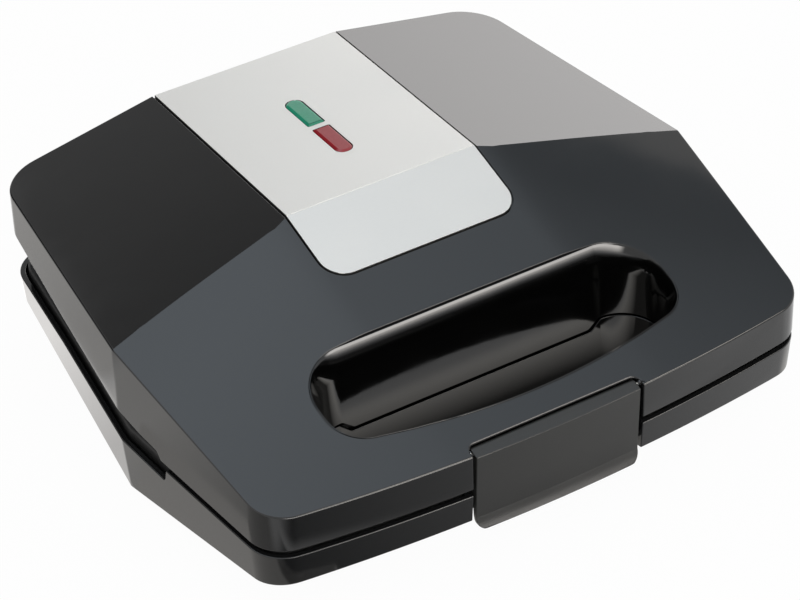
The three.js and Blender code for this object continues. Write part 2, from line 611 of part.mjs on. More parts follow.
// Latch: a cover along the bow of the front with a sloping ledge on top and a flared lower lip,
// a barrel for its pin and a hook
function latchSolid() {
  const { y, z } = LATCH_AXIS;
  const { half, barrel, bore, bottom, corner, top, fold, hookHalf } = LATCH;
  const slope = Math.atan(FRONT_SLOPE);
  const frontY = FRONT_CORNER.y - FRONT_BOW;
  const plate = alongX([
    [y + 0.4, z - 3], [-114.8, fold + 0.3], [-116.9, bottom], [-FAR, bottom],
    [-FAR, top - FRONT_SLOPE * (FAR + frontY)],
    [y - barrel * Math.sin(slope), z + barrel * Math.cos(slope)], [y, z],
  ], -half, half);
  const face = loft([
    [-0.1, bottom - 1], [-0.6, bottom + 0.5], [1.1, fold], [0.05, top], [0.05, top + 10],
  ].map(([distance, height]) => ringAt(inset(PLAN, distance), height)));
  const hook = alongX([[-116.6, 18.4], [-112.2, 20.4], [-112.2, 23.6], [-116, 24.2]], -hookHalf, hookHalf);
  const frontOutline = new THREE.Shape(roundedPolygon([
    { x: -half, y: bottom, radius: corner }, { x: half, y: bottom, radius: corner },
    { x: half, y: FAR }, { x: -half, y: FAR },
  ]));
  const frontView = solid(new THREE.ExtrudeGeometry(frontOutline, { depth: FAR, bevelEnabled: false })
    .rotateX(Math.PI / 2));
  const cover = plate.intersect(face).intersect(frontView);
  return joined([cover, hook, cylinderX(barrel, y, z, -half, half)])
    .subtract(cylinderX(bore, y, z, -FAR, FAR, 12));
}

// Feet with their pads, and screws that stand on a seat with the head below
function footSolid(x, y) {
  return without(cylinderZ(FOOT.bottom, x, y, FOOT.floor, 24, 16, FOOT.top), [
    aboveKeel(-GAP),
    cylinderZ(SCREW.head + 0.6, x, y, 0, FOOT.headroom),
    cylinderZ(FOOT.pad + GAP, x, y, 0, FOOT.padTop + GAP, 16),
    cylinderZ(SCREW.hole, x, y, 0, 30, 8),
  ]);
}
const padSolid = (x, y) => cylinderZ(FOOT.pad - 0.4, x, y, 0, FOOT.padTop, 16, FOOT.pad);

function screwSolid(x, y, seat, length) {
  const { shank, head, headHeight, point } = SCREW;
  return turned([
    [0, -headHeight], [head * 0.75, -headHeight], [head, 0], [shank, 0], [shank, length - point], [0, length],
  ], x, y, seat, 6);
}

// Mains parts
function terminalBlock() {
  const { x0, x1, y0, y1, low, high } = TERMINALS;
  const holes = [0.2, 0.5, 0.8].map((share) =>
    cylinderZ(1.8, (x0 + x1) / 2, y0 + (y1 - y0) * share, low + 3, FAR, 8));
  return without(block(x0, y0, low, x1, y1, high, 1.5), holes);
}

function cordInlet() {
  const { z, bore, neck, flange, inside, flangeEnd, outside } = INLET;
  const profile = [
    [bore, inside], [flange, inside], [flange, flangeEnd], [neck, flangeEnd], [neck, outside - 0.5],
    [neck - 0.4, outside], [bore, outside], [bore, inside],
  ].map(([radius, y]) => new THREE.Vector2(radius, y));
  return solid(new THREE.LatheGeometry(profile, 16).translate(0, 0, z));
}

function thermostatSolid() {
  const { x, y, low } = THERMOSTAT;
  const can = turned([[0, 0], [8, 0], [8, 3.2], [6.5, 3.2], [6.5, 5.4], [0, 5.4]], x, y, low, 12);
  return can.add(block(x - 12, y - 2.5, low, x + 12, y + 2.5, low + 1, 1));
}

function fuseSolid() {
  const { x, y, z, radius, length, lead, reach } = FUSE;
  return cylinderX(radius, y, z, x - length / 2, x + length / 2, 12)
    .add(cylinderX(lead, y, z, x - reach / 2, x + reach / 2, 8));
}

// Lid
addPart('lid_shell', lidShell(), glossyShell());
addPart('trim_panel', trimPanel(), material(0xd6d6d2, 0.3, 0.6));
addPart('lamp_holder', lampHolder(), heatBlack());
for (const lens of LENSES) {
  addPart(`${lens.name}_lens`, lensSolid(lens), material(lens.color, 0.15));
  addPart(`${lens.name}_lamp`, lampBody(lens, LAMP.radius, LAMP.length), material(0xe8e4d8, 0.2));
}
addPart('upper_handle_well', upperLiner(), glossBlack());
addPart('upper_frame', upperFrame(), heatBlack());
addPart('upper_plate', aboveParting(lowerPlate()), nonStick());
addPart('upper_element', aboveParting(lowerElement()), sheath());
addPart('upper_reflector', aboveParting(lowerReflector()), brushedSteel());
addPart('thermostat', thermostatSolid(), brushedSteel());
addPart('thermal_fuse', fuseSolid(), ceramic());
addPart('latch_pin', cylinderX(LATCH_PIN.radius, LATCH_AXIS.y, LATCH_AXIS.z,
  -LATCH_PIN.half, LATCH_PIN.half, 12), brushedSteel());
addPart('latch', latchSolid(), satinBlack());

// Base
addPart('base_shell', baseShell(), glossyShell());
addPart('lower_handle_well', lowerLiner(), glossBlack());
addPart('lower_frame', lowerFrame(), heatBlack());
addPart('lower_plate', lowerPlate(), nonStick());
addPart('lower_element', lowerElement(), sheath());
addPart('lower_reflector', lowerReflector(), brushedSteel());
addPart('terminal_block', terminalBlock(), ceramic());
addPart('cord_inlet', cordInlet(), satinBlack());
for (const [side, x0, x1] of [['left', -HINGE.outer, -HINGE.inner], ['right', HINGE.inner, HINGE.outer]]) {
  addPart(`hinge_pin_${side}`, cylinderX(HINGE.pin, HINGE.y, HINGE.z, x0 - 1.5, x1 + 1.5), brushedSteel());
}

// Feet and fasteners
for (const { name, x, y } of FEET) {
  addPart(`foot_${name}`, footSolid(x, y), satinBlack());
  addPart(`foot_pad_${name}`, padSolid(x, y), material(0x3a3a3a, 0.9));
  addPart(`base_screw_${name}`, screwSolid(x, y, FOOT.headroom - GAP, 23), brushedSteel());
  addPart(`lid_screw_${name}`, screwSolid(x, y, UPPER_FRAME.deck, 12), brushedSteel());
}
PLATE_BOSS.places.forEach(([x, y], i) => {
  const screw = screwSolid(x, y, REFLECTOR.low - GAP, 9);
  const place = ['left', 'right', 'front'][i];
  addPart(`lower_plate_screw_${place}`, screw, brushedSteel());
  addPart(`upper_plate_screw_${place}`, aboveParting(screw), brushedSteel());
});

export default model;
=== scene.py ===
"""Multi snack maker: the dressed model and its studio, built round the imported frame. Metres throughout."""
import json
import math

import bmesh
import bpy
from mathutils import Matrix, Vector


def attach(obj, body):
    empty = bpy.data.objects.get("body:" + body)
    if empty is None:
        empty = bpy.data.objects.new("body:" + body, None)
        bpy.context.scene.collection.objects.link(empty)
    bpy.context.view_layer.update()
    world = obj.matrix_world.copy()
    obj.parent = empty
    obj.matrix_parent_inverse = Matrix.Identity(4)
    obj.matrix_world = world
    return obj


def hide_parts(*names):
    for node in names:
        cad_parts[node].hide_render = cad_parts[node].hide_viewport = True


bl_info = {
    "name": "Multi snack maker",
    "version": (1, 0, 0),
    "blender": (4, 5, 0),
    "location": "View3D > Sidebar > Snack maker",
    "description": "Builds the outside, the fittings and the finishes of a two-slice snack maker",
    "category": "Add Mesh",
}

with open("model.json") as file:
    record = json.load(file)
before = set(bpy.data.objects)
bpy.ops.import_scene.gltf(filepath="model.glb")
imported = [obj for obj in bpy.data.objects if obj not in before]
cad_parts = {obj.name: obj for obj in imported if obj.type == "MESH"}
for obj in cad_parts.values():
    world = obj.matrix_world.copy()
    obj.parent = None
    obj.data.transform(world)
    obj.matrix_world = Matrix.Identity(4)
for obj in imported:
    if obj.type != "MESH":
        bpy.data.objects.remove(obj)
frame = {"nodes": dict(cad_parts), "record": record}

# Plan outline
HALF_WIDTH = 0.132
SIDE_CORNER_Y = -0.0094
SIDE_CORNER_RADIUS = 0.0095
FRONT_CORNER = (0.1226, -0.1088)
FRONT_CORNER_RADIUS = 0.016
REAR_CORNER = (0.1168, 0.1192)
REAR_CORNER_RADIUS = 0.018
FRONT_BOW = 0.0101
REAR_Y = 0.1195

# Faceted roof
ROOF_Z = 0.0892
CREASE_Y = 0.009
TOP_HALF_WIDTH = 0.0434
REAR_FALL = 0.04
SIDE_SLOPE = 0.186
FRONT_SLOPE = 0.284
FRONT_RUN = 0.118
CROWN_BLEND = 0.006
CROWN_AT_FOLD = 0.0119
CROWN_AT_FRONT = 0.0026
ROOF_THICKNESS = 0.0034
WALL = 0.0025

# Heights of the rim of the base, the plates' faces and the keel under the base
BASE_RIM_Z = 0.0335
UPPER_FACE_Z = 0.0359
LOWER_FACE_Z = 0.0353
BASE_FRONT_Z = 0.0196
KEEL_Z = 0.0038
BASE_REAR_Z = 0.0192
BASE_DRAFT = 0.078

# Clearance between neighbours, a finely broken edge, and the half-width that only the bow bounds
GAP = 0.0003
FINE_BREAK = 0.00015
BOW_HALF = 0.06

# Levels where blanks and cutters begin and end, and a length beyond every face
UNDER_BASE = -0.01
CUT_LOW = 0.01
BLANK_LOW = 0.02
CUT_HIGH = 0.12
FAR = 0.15

ALONG_X = (0, math.pi / 2, 0)
ALONG_Y = (math.pi / 2, 0, 0)


# Outlines in a plane
def rounded(corners, steps=12):
    """Points along a polygon whose corners are (x, y), (x, y, radius) or (x, y, radius, steps)."""
    points = []
    for i, corner in enumerate(corners):
        here = Vector(corner[:2])
        if len(corner) == 2:
            points.append(here)
            continue
        back = (Vector(corners[i - 1][:2]) - here).normalized()
        ahead = (Vector(corners[(i + 1) % len(corners)][:2]) - here).normalized()
        half = math.acos(max(-1.0, min(1.0, back.dot(ahead)))) / 2
        centre = here + (back + ahead).normalized() * corner[2] / math.sin(half)
        spoke = here + back * corner[2] / math.tan(half) - centre
        turn = math.pi - 2 * half
        if back.cross(ahead) > 0:
            turn = -turn
        count = corner[3] if len(corner) == 4 else steps
        for step in range(count + 1):
            points.append(centre + Matrix.Rotation(turn * step / count, 2) @ spoke)
    return points


def inset(outline, distance):
    """Moves every side of a counter-clockwise outline inwards."""
    moved = []
    for i, point in enumerate(outline):
        before = (point - outline[i - 1]).normalized()
        after = (outline[(i + 1) % len(outline)] - point).normalized()
        inward = Vector((-before.y - after.y, before.x + after.x))
        moved.append(point + inward * distance / (1 + before.dot(after)))
    return moved


def between(start, end, count):
    """Points that divide a straight side, without its ends."""
    return [Vector(start).lerp(Vector(end), i / (count + 1)) for i in range(1, count + 1)]


def ring(outline, height):
    """An outline laid at a height, or over a surface."""
    return [Vector((x, y, height(x, y) if callable(height) else height)) for x, y in outline]


def mirrored(half_outline):
    """A half outline from the middle of the front round to the middle of the rear, with its mirror image."""
    return half_outline + [Vector((-x, y)) for x, y in reversed(half_outline) if x > 1e-6]


def front_line(x):
    """The bowed front, as y over x."""
    bow_radius = (FRONT_CORNER[0] ** 2 + FRONT_BOW ** 2) / (2 * FRONT_BOW)
    return FRONT_CORNER[1] - FRONT_BOW + bow_radius - math.sqrt(bow_radius ** 2 - x ** 2)


def plan_outline():
    """The outline from above: the bow, a front corner of 13 points, the drafted sides and the rear."""
    half_front = 0.86 * FRONT_CORNER[0]
    bow = [Vector((x, front_line(x))) for x in (half_front * step / 9 for step in range(10))]
    turns = rounded([
        bow[-1], (*FRONT_CORNER, FRONT_CORNER_RADIUS), (HALF_WIDTH, SIDE_CORNER_Y, SIDE_CORNER_RADIUS, 3),
        (*REAR_CORNER, REAR_CORNER_RADIUS), (TOP_HALF_WIDTH, REAR_Y), (-TOP_HALF_WIDTH, REAR_Y),
    ])
    front, rest = turns[:14], turns[14:-1]
    return mirrored(bow[:-1] + front + between(front[-1], rest[0], 6) + rest)


PLAN = plan_outline()


# Roof surfaces
def gable_height(x, y):
    return ROOF_Z - REAR_FALL * (y - CREASE_Y) - SIDE_SLOPE * max(0.0, abs(x) - TOP_HALF_WIDTH)


def front_height(x, y):
    """The front facet: flat as far out as the top, then crowned by an even fall with a soft start."""
    crown = CROWN_AT_FOLD + (CROWN_AT_FRONT - CROWN_AT_FOLD) * (CREASE_Y - y) / FRONT_RUN
    beyond = math.hypot(max(0.0, abs(x) - TOP_HALF_WIDTH), CROWN_BLEND) - CROWN_BLEND
    whole = math.hypot(HALF_WIDTH - TOP_HALF_WIDTH, CROWN_BLEND) - CROWN_BLEND
    return ROOF_Z + FRONT_SLOPE * (y - CREASE_Y) - crown * beyond / whole


def roof_height(x, y):
    return min(gable_height(x, y), front_height(x, y))


KEEL_SLOPES = [
    (z - KEEL_Z) / (y - SIDE_CORNER_Y) for y, z in ((FRONT_CORNER[1], BASE_FRONT_Z), (REAR_CORNER[1], BASE_REAR_Z))]


def keel_height(x, y):
    """The folded underside of the base, the same across its width."""
    return KEEL_Z + KEEL_SLOPES[y > SIDE_CORNER_Y] * (y - SIDE_CORNER_Y)


# Shop tools
def deselect():
    if bpy.context.object and bpy.context.object.mode == "EDIT":
        bpy.ops.object.mode_set(mode="OBJECT")
    bpy.ops.object.select_all(action="DESELECT")


def pick(piece):
    deselect()
    bpy.context.view_layer.objects.active = piece
    piece.select_set(True)


def edit(piece, kind="FACE", action="SELECT"):
    """Opens a piece for editing with all or nothing selected."""
    pick(piece)
    bpy.ops.object.mode_set(mode="EDIT")
    bpy.ops.mesh.select_mode(type=kind)
    bpy.ops.mesh.select_all(action=action)
    return bmesh.from_edit_mesh(piece.data)


def close_edit():
    bpy.ops.object.mode_set(mode="OBJECT")


def face_outwards(piece):
    edit(piece)
    bpy.ops.mesh.normals_make_consistent(inside=False)
    if bmesh.from_edit_mesh(piece.data).calc_volume(signed=True) < 0:
        bpy.ops.mesh.flip_normals()
    close_edit()


def lofted(name, rings, closed=False):
    """A skin through rings of equal length: a circle is laid on the first ring and extruded to each next one.
    A closed skin has no end faces, because its last ring is merged with its first."""
    deselect()
    fill = "NOTHING" if closed else "NGON"
    bpy.ops.mesh.primitive_circle_add(vertices=len(rings[0]), radius=0.01, fill_type=fill)
    piece = bpy.context.object
    piece.name = piece.data.name = name
    for vertex, place in zip(piece.data.vertices, rings[0]):
        vertex.co = place
    edit(piece, "EDGE" if closed else "FACE")
    order = list(range(len(rings[0])))
    for places in rings[1:] + rings[:1] * closed:
        bpy.ops.mesh.extrude_region_move()
        skin = bmesh.from_edit_mesh(piece.data)
        skin.verts.index_update()
        skin.verts.ensure_lookup_table()
        order = [
            next(e.other_vert(skin.verts[i]).index for e in skin.verts[i].link_edges
                 if e.other_vert(skin.verts[i]).select)
            for i in order
        ]
        for i, place in zip(order, places):
            skin.verts[i].co = place
        bmesh.update_edit_mesh(piece.data)
    bpy.ops.mesh.select_all(action="SELECT")
    if closed:
        bpy.ops.mesh.remove_doubles(threshold=1e-6)
    close_edit()
    face_outwards(piece)
    return piece


def prism(name, outline, low, high):
    return lofted(name, [ring(outline, low), ring(outline, high)])


def along_x(name, profile, x0, x1):
    """A profile of y and z, run along X."""
    return lofted(name, [[Vector((x, y, z)) for y, z in profile] for x in (x0, x1)])


def along_y(name, profile, y0, y1):
    """A profile of x and z, run along Y."""
    return lofted(name, [[Vector((x, y, z)) for x, z in profile] for y in (y0, y1)])


def spokes(sides):
    """Directions round a circle."""
    return [(math.cos(2 * math.pi * i / sides), math.sin(2 * math.pi * i / sides)) for i in range(sides)]


def turned(name, profile, x, y):
    """A profile of radius and height, turned about an upright axis."""
    return lofted(name, [[Vector((x + r * c, y + r * s, z)) for c, s in spokes(56)] for r, z in profile])


def copied(node, name):
    """A merged copy of a CAD node's mesh, as a piece of its own."""
    deselect()
    piece = bpy.data.objects.new(name, frame["nodes"][node].data.copy())
    bpy.context.scene.collection.objects.link(piece)
    edit(piece, "EDGE")
    bpy.ops.mesh.remove_doubles(threshold=1e-6)
    close_edit()
    return piece


def settled(name):
    """Names the new primitive and puts its place into its mesh."""
    piece = bpy.context.object
    piece.name = name
    pick(piece)
    bpy.ops.object.transform_apply(location=True, rotation=True, scale=True)
    return piece


def box(name, low, high):
    deselect()
    size = [b - a for a, b in zip(low, high)]
    middle = [(a + b) / 2 for a, b in zip(low, high)]
    bpy.ops.mesh.primitive_cube_add(size=1, location=middle, scale=size)
    return settled(name)


def rod(name, radius, length, place, turn=(0, 0, 0), sides=32):
    deselect()
    bpy.ops.mesh.primitive_cylinder_add(vertices=sides, radius=radius, depth=length, location=place, rotation=turn)
    return settled(name)


def modify(piece, kind, **values):
    pick(piece)
    modifier = piece.modifiers.new(kind.title(), kind)
    for key, value in values.items():
        setattr(modifier, key, value)
    bpy.ops.object.modifier_apply(modifier=modifier.name)


def combine(piece, operation, *others):
    for other in others:
        modify(piece, "BOOLEAN", operation=operation, solver="EXACT", object=other)
        bpy.data.objects.remove(other)
    return piece


def slice_off(piece, place, normal):
    """Cuts away what lies beyond a plane and closes the cut."""
    edit(piece)
    bpy.ops.mesh.bisect(plane_co=place, plane_no=Vector(normal).normalized(), use_fill=True, clear_outer=True)
    close_edit()


def soften(piece, width, segments=2, angle=35):
    """Rounds the edges that are sharper than an angle in degrees."""
    modify(
        piece, "BEVEL", width=width, segments=segments, limit_method="ANGLE",
        angle_limit=math.radians(angle), use_clamp_overlap=False, loop_slide=False, miter_outer="MITER_ARC",
    )


def shade(piece, angle):
    """Shades smoothly across edges flatter than an angle in degrees."""
    pick(piece)
    bpy.ops.object.shade_smooth_by_angle(angle=math.radians(angle))
    modify(piece, "WEIGHTED_NORMAL", keep_sharp=True, weight=60)


def dress(piece, smooth, body, slot, node):
    """Shades a finished piece, gives it its material and its body, and hides the CAD node that it stands for."""
    shade(piece, smooth)
    piece.data.materials.clear()
    piece.data.materials.append(FINISHES[slot])
    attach(piece, body)
    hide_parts(node)


# Blocks that shape more than one piece
ROOF_GRID = {"width": 0.284, "depth": 0.27, "middle_y": 0.006, "columns": 84, "rows": 22}


def roof_body(lowered, fold=0.0):
    """All that lies under the roof: a grid lifted to the crowned front, extruded down and cut by the gable planes."""
    deselect()
    bpy.ops.mesh.primitive_grid_add(x_subdivisions=ROOF_GRID["columns"], y_subdivisions=ROOF_GRID["rows"], size=1)
    piece = bpy.context.object
    for vertex in piece.data.vertices:
        x = vertex.co.x * ROOF_GRID["width"]
        y = vertex.co.y * ROOF_GRID["depth"] + ROOF_GRID["middle_y"]
        vertex.co = (x, y, front_height(x, y) - lowered)
    edit(piece)
    bpy.ops.mesh.extrude_region_move()
    skin = bmesh.from_edit_mesh(piece.data)
    for vertex in skin.verts:
        if vertex.select:
            vertex.co.z = -FAR
    bmesh.update_edit_mesh(piece.data)
    close_edit()
    face_outwards(piece)
    for side in (-1, 1):
        slice_off(piece, (side * TOP_HALF_WIDTH, CREASE_Y, ROOF_Z - lowered), (side * SIDE_SLOPE, REAR_FALL, 1))
    slice_off(piece, (0, CREASE_Y, ROOF_Z - lowered), (0, REAR_FALL, 1))
    if fold:
        skin = edit(piece, "EDGE", "DESELECT")
        for edge in skin.edges:
            ends = [vertex.co for vertex in edge.verts]
            edge.select = all(
                abs(abs(end.x) - TOP_HALF_WIDTH) < 2e-5 and abs(end.z + lowered - gable_height(end.x, end.y)) < 5e-5
                for end in ends) and abs(ends[0].y - ends[1].y) > 0.005
        bmesh.update_edit_mesh(piece.data)
        bpy.ops.mesh.bevel(offset=fold, segments=5, affect="EDGES", clamp_overlap=False)
        close_edit()
    return piece


SLOT = {"half": 0.0787, "front": -0.1016, "rear": -0.0527, "rear_round": 0.522, "front_round": 0.436, "bow": 0.0108}
SLOT_DRAFT = {"rear_from": 0.0717, "rear": 0.11, "front_from": 0.0584, "front": 0.06}
LINER = {"wall": 0.001, "lip": 0.00035, "lip_gap": 0.0002, "ledge": 0.0013, "bottom": 0.030, "outer_turn": 0.045,
         "inner_turn": 0.0445, "seam": 0.038, "seam_radius": 0.0022}
FLARE = {"depth": 0.011, "first": 0.348, "second": 18.1, "fade": 0.05, "least": 0.0002, "lead": 0.001}


def slot_outline(z, grow):
    rear = SLOT["rear"] - SLOT_DRAFT["rear"] * (SLOT_DRAFT["rear_from"] - z) + grow
    front = SLOT["front"] + SLOT_DRAFT["front"] * (SLOT_DRAFT["front_from"] - z) - grow
    half = SLOT["half"] - SLOT_DRAFT["front"] * (SLOT_DRAFT["front_from"] - z) + grow
    side = front + SLOT["bow"]
    front_radius = SLOT["front_round"] * (rear - side)
    rear_radius = SLOT["rear_round"] * (rear - side)
    shares = [i / 10 * 0.66 for i in range(-10, 11)]
    return rounded([
        *[(half * share, side - SLOT["bow"] * (1 - share ** 2)) for share in shares],
        (half, side, front_radius), (half, rear, rear_radius),
        (-half, rear, rear_radius), (-half, side, front_radius),
    ])


def slot_ring(height, grow):
    """The slot's outline at a height, or where it meets a surface."""
    low_z, high_z = 0.0, 0.08
    points = []
    for low, high in zip(slot_outline(low_z, grow), slot_outline(high_z, grow)):
        z = height if not callable(height) else height(*high)
        for _ in range(4):
            place = low.lerp(high, (z - low_z) / (high_z - low_z))
            if callable(height):
                z = height(*place)
        points.append(Vector((*place, z)))
    return points


def swollen(height):
    """A slot ring moved inwards by what its depth under the roof asks: the liner is thickest under its lip."""
    points = slot_ring(height, 0)
    moved = []
    for i, point in enumerate(points):
        depth = front_height(point.x, point.y) - point.z
        near = min(depth, FLARE["depth"])
        swell = FLARE["first"] * near - FLARE["second"] * near ** 2 - FLARE["fade"] * (depth - near)
        along = points[(i + 1) % len(points)] - points[i - 1]
        inward = Vector((-along.y, along.x, 0)).normalized()
        moved.append(point + inward * max(swell, FLARE["least"] * min(1, depth / FLARE["lead"])))
    return moved


def under_roof(depth):
    """The surface that lies at a depth under the front facet."""
    return lambda x, y: front_height(x, y) - depth


def slot_hole(ledge=0.0):
    """The opening round the liner; a ledge closes it in to the liner's thin lip."""
    wide, narrow = LINER["wall"] + GAP, LINER["lip"] + LINER["lip_gap"]
    turn = [slot_ring(under_roof(ledge), wide), slot_ring(under_roof(ledge), narrow)] if ledge else []
    return lofted("slot_hole", [
        slot_ring(UNDER_BASE, wide), *turn, slot_ring(CUT_HIGH, narrow if ledge else wide)])


RECESS = {"half": 0.0388, "lip": -0.1125, "back": -0.1098, "ceiling": 0.0534, "radius": 0.0035}


def latch_notch(grow):
    half = RECESS["half"] + grow
    radius = RECESS["radius"] + grow
    notch = prism("notch", rounded([
        (-half, -FAR), (half, -FAR), (half, RECESS["lip"] + grow, radius), (-half, RECESS["lip"] + grow, radius),
    ], 8), -FAR, FAR)
    under = box("under", (-half, -FAR - 0.001, -FAR - 0.001), (half, RECESS["back"] + grow, RECESS["ceiling"] + grow))
    return combine(notch, "UNION", under)


# Edge lines seen from the side, as y, z and a radius, from the parting at the front to the rear
LID_PARTING_Z = 0.0371
BASE_PARTING_Z = 0.0340
LID_EDGE = [
    (-0.038, LID_PARTING_Z), (-0.0355, 0.0404, 0.0025), (-0.024, 0.0412, 0.008), (SIDE_CORNER_Y, 0.0438, 0.02),
    (0.051, 0.0468), (REAR_CORNER[1], 0.0524),
]
BASE_EDGE = [
    (-0.041, BASE_PARTING_Z), (-0.0388, 0.0274, 0.0018), (SIDE_CORNER_Y, 0.0285), (0.055, 0.0315),
    (REAR_CORNER[1], 0.03),
]


def side_block(name, line, far):
    """All above or all below an edge line."""
    profile = rounded([(-FAR, line[0][1]), *line, (FAR, line[-1][1]), (FAR, far), (-FAR, far)], 6)
    return along_x(name, profile, -FAR, FAR)


# Finishes
def new_material(name):
    material = bpy.data.materials.new(name)
    material.use_nodes = True
    return material, material.node_tree


def feed(tree, node, inputs):
    """Gives each input, by its name or number, a value or the socket that drives it."""
    for key, value in inputs.items():
        if isinstance(value, bpy.types.NodeSocket):
            tree.links.new(value, node.inputs[key])
        else:
            node.inputs[key].default_value = value


def add_node(tree, kind, inputs=None, **settings):
    """Adds a shader node of a kind, sets it and feeds its inputs. Gives back its outputs."""
    node = tree.nodes.new("ShaderNode" + kind)
    for name, value in settings.items():
        setattr(node, name, value)
    feed(tree, node, inputs or {})
    return node.outputs


def seen_by(tree, *kinds):
    """One for a ray of any of these kinds, else zero."""
    rays = add_node(tree, "LightPath")
    seen = rays[f"Is {kinds[0]} Ray"]
    for kind in kinds[1:]:
        seen = add_node(tree, "Math", {0: seen, 1: rays[f"Is {kind} Ray"]}, operation="MAXIMUM")[0]
    return seen


def surface_group():
    """A moulded or worked surface: soft waviness, fine grain and a mask of faint handling marks."""
    group = bpy.data.node_groups.new("worked_surface", "ShaderNodeTree")
    for name, value in (("Wave size", 0.02), ("Grain size", 0.0005), ("Grain share", 0.5), ("Stretch", 1.0)):
        socket = group.interface.new_socket(name, in_out="INPUT", socket_type="NodeSocketFloat")
        socket.default_value = value
    for name in ("Height", "Marks", "Grain"):
        group.interface.new_socket(name, in_out="OUTPUT", socket_type="NodeSocketFloat")
    given, results = group.nodes.new("NodeGroupInput").outputs, group.nodes.new("NodeGroupOutput")
    places = add_node(group, "TexCoord")["Object"]
    stretch = add_node(group, "CombineXYZ", {"X": given["Stretch"], "Y": 1, "Z": 1})[0]
    drawn = add_node(group, "VectorMath", {0: places, 1: stretch}, operation="MULTIPLY")[0]

    def noise(size, detail, source):
        frequency = add_node(group, "Math", {0: 1, 1: given[size]}, operation="DIVIDE")[0]
        return add_node(group, "TexNoise", {"Vector": source, "Scale": frequency, "Detail": detail})["Fac"]

    wave, grain = noise("Wave size", 2, places), noise("Grain size", 3, drawn)
    height = add_node(group, "Mix", {"Factor": given["Grain share"], "A": wave, "B": grain})["Result"]
    marks = add_node(group, "MapRange", {"Value": wave, "From Min": 0.42, "From Max": 0.68})["Result"]
    feed(group, results, {"Height": height, "Marks": marks, "Grain": grain})
    return group


def grey(level):
    return (level, level, level)


LENS_PLASTIC = {"Transmission Weight": 0.25, "IOR": 1.5, "Coat Weight": 0.2}

# Slot: colour, second colour, roughness range, wave size, grain size, grain share, depth of bump, and the inputs
# that differ from a plain moulding's
FINISH_TABLE = {
    "gloss_shell": (
        (0.0088, 0.0090, 0.0092), (0.0102, 0.0104, 0.0107), (0.07, 0.10), 0.03, 0.0009, 0.06, 0.00004, {}),
    # The liners' black is far darker than the shell's: black moulding, with painted shade for the deep finger slot.
    "well_black": (grey(0.0012), grey(0.0020), (0.06, 0.09), 0.02, 0.0009, 0.06, 0.00004, {}),
    "trim_silver": (
        (0.655, 0.655, 0.635), (0.69, 0.69, 0.67), (0.36, 0.42), 0.03, 0.00022, 0.6, 0.000012,
        {"Metallic": 0.2, "Stretch": 0.12}),
    "satin_black": (
        (0.021, 0.021, 0.020), (0.026, 0.026, 0.025), (0.38, 0.46), 0.02, 0.0004, 0.8, 0.00002,
        {"Specular IOR Level": 0.35}),
    "heat_black": (grey(0.010), grey(0.015), (0.42, 0.55), 0.02, 0.0005, 0.8, 0.00004, {"Specular IOR Level": 0.25}),
    "non_stick": (
        (0.020, 0.020, 0.021), (0.030, 0.030, 0.031), (0.34, 0.46), 0.02, 0.0006, 0.9, 0.00005, {"Metallic": 0.25}),
    "element_sheath": (
        (0.10, 0.085, 0.07), (0.20, 0.18, 0.16), (0.40, 0.55), 0.012, 0.0005, 0.7, 0.00003, {"Metallic": 0.85}),
    "steel": (
        (0.52, 0.53, 0.54), (0.62, 0.63, 0.64), (0.22, 0.34), 0.015, 0.0003, 0.8, 0.00001,
        {"Metallic": 1, "Stretch": 0.1}),
    "ceramic": ((0.70, 0.67, 0.58), (0.78, 0.75, 0.67), (0.45, 0.60), 0.01, 0.0004, 0.8, 0.00004, {}),
    "pad_rubber": (grey(0.030), grey(0.042), (0.65, 0.80), 0.01, 0.0004, 0.9, 0.00006, {}),
    "green_lens": (
        (0.012, 0.32, 0.18), (0.035, 0.43, 0.26), (0.05, 0.08), 0.006, 0.0012, 0.3, 0.00004, LENS_PLASTIC),
    "red_lens": (
        (0.34, 0.012, 0.022), (0.46, 0.030, 0.042), (0.05, 0.08), 0.006, 0.0012, 0.3, 0.00004, LENS_PLASTIC),
    "lamp_glass": (
        (0.90, 0.88, 0.82), (0.85, 0.83, 0.78), (0.02, 0.05), 0.006, 0.001, 0.2, 0.00001,
        {"Transmission Weight": 0.9, "IOR": 1.47}),
}
FINISHES = {}


def finish(slot, group):
    first, second, roughness, wave, grain, share, bump_depth, own = FINISH_TABLE[slot]
    material, tree = new_material(slot)
    worked = add_node(tree, "Group", {
        "Wave size": wave, "Grain size": grain, "Grain share": share, "Stretch": own.get("Stretch", 1),
    }, node_tree=group)
    colours = add_node(tree, "Mix", {"Factor": worked["Grain"], "A": (*first, 1), "B": (*second, 1)}, data_type="RGBA")
    rough = add_node(tree, "MapRange", {"Value": worked["Marks"], "To Min": roughness[0], "To Max": roughness[1]})
    bump = add_node(tree, "Bump", {"Height": worked["Height"], "Strength": 1, "Distance": bump_depth})
    shader = tree.nodes["Principled BSDF"]
    feed(tree, shader, {
        "Base Color": colours["Result"], "Roughness": rough["Result"], "Normal": bump["Normal"]})
    feed(tree, shader, {name: value for name, value in own.items() if name != "Stretch"})
    return material


# What a user may change
def slider(name, description, default, **kind):
    return bpy.props.FloatProperty(name=name, description=description, default=default, **kind)


class HousingSizes(bpy.types.PropertyGroup):
    edge_roll: slider("Edge roll", "Radius of the rolled top edge of the lid", 0.0007, unit="LENGTH")
    fold: slider("Roof fold", "Width of the soft fold beside the silver strip", 0.003, unit="LENGTH")
    rim: slider("Rim break", "Broken edge of the lid's and the base's rims", 0.00045, unit="LENGTH")


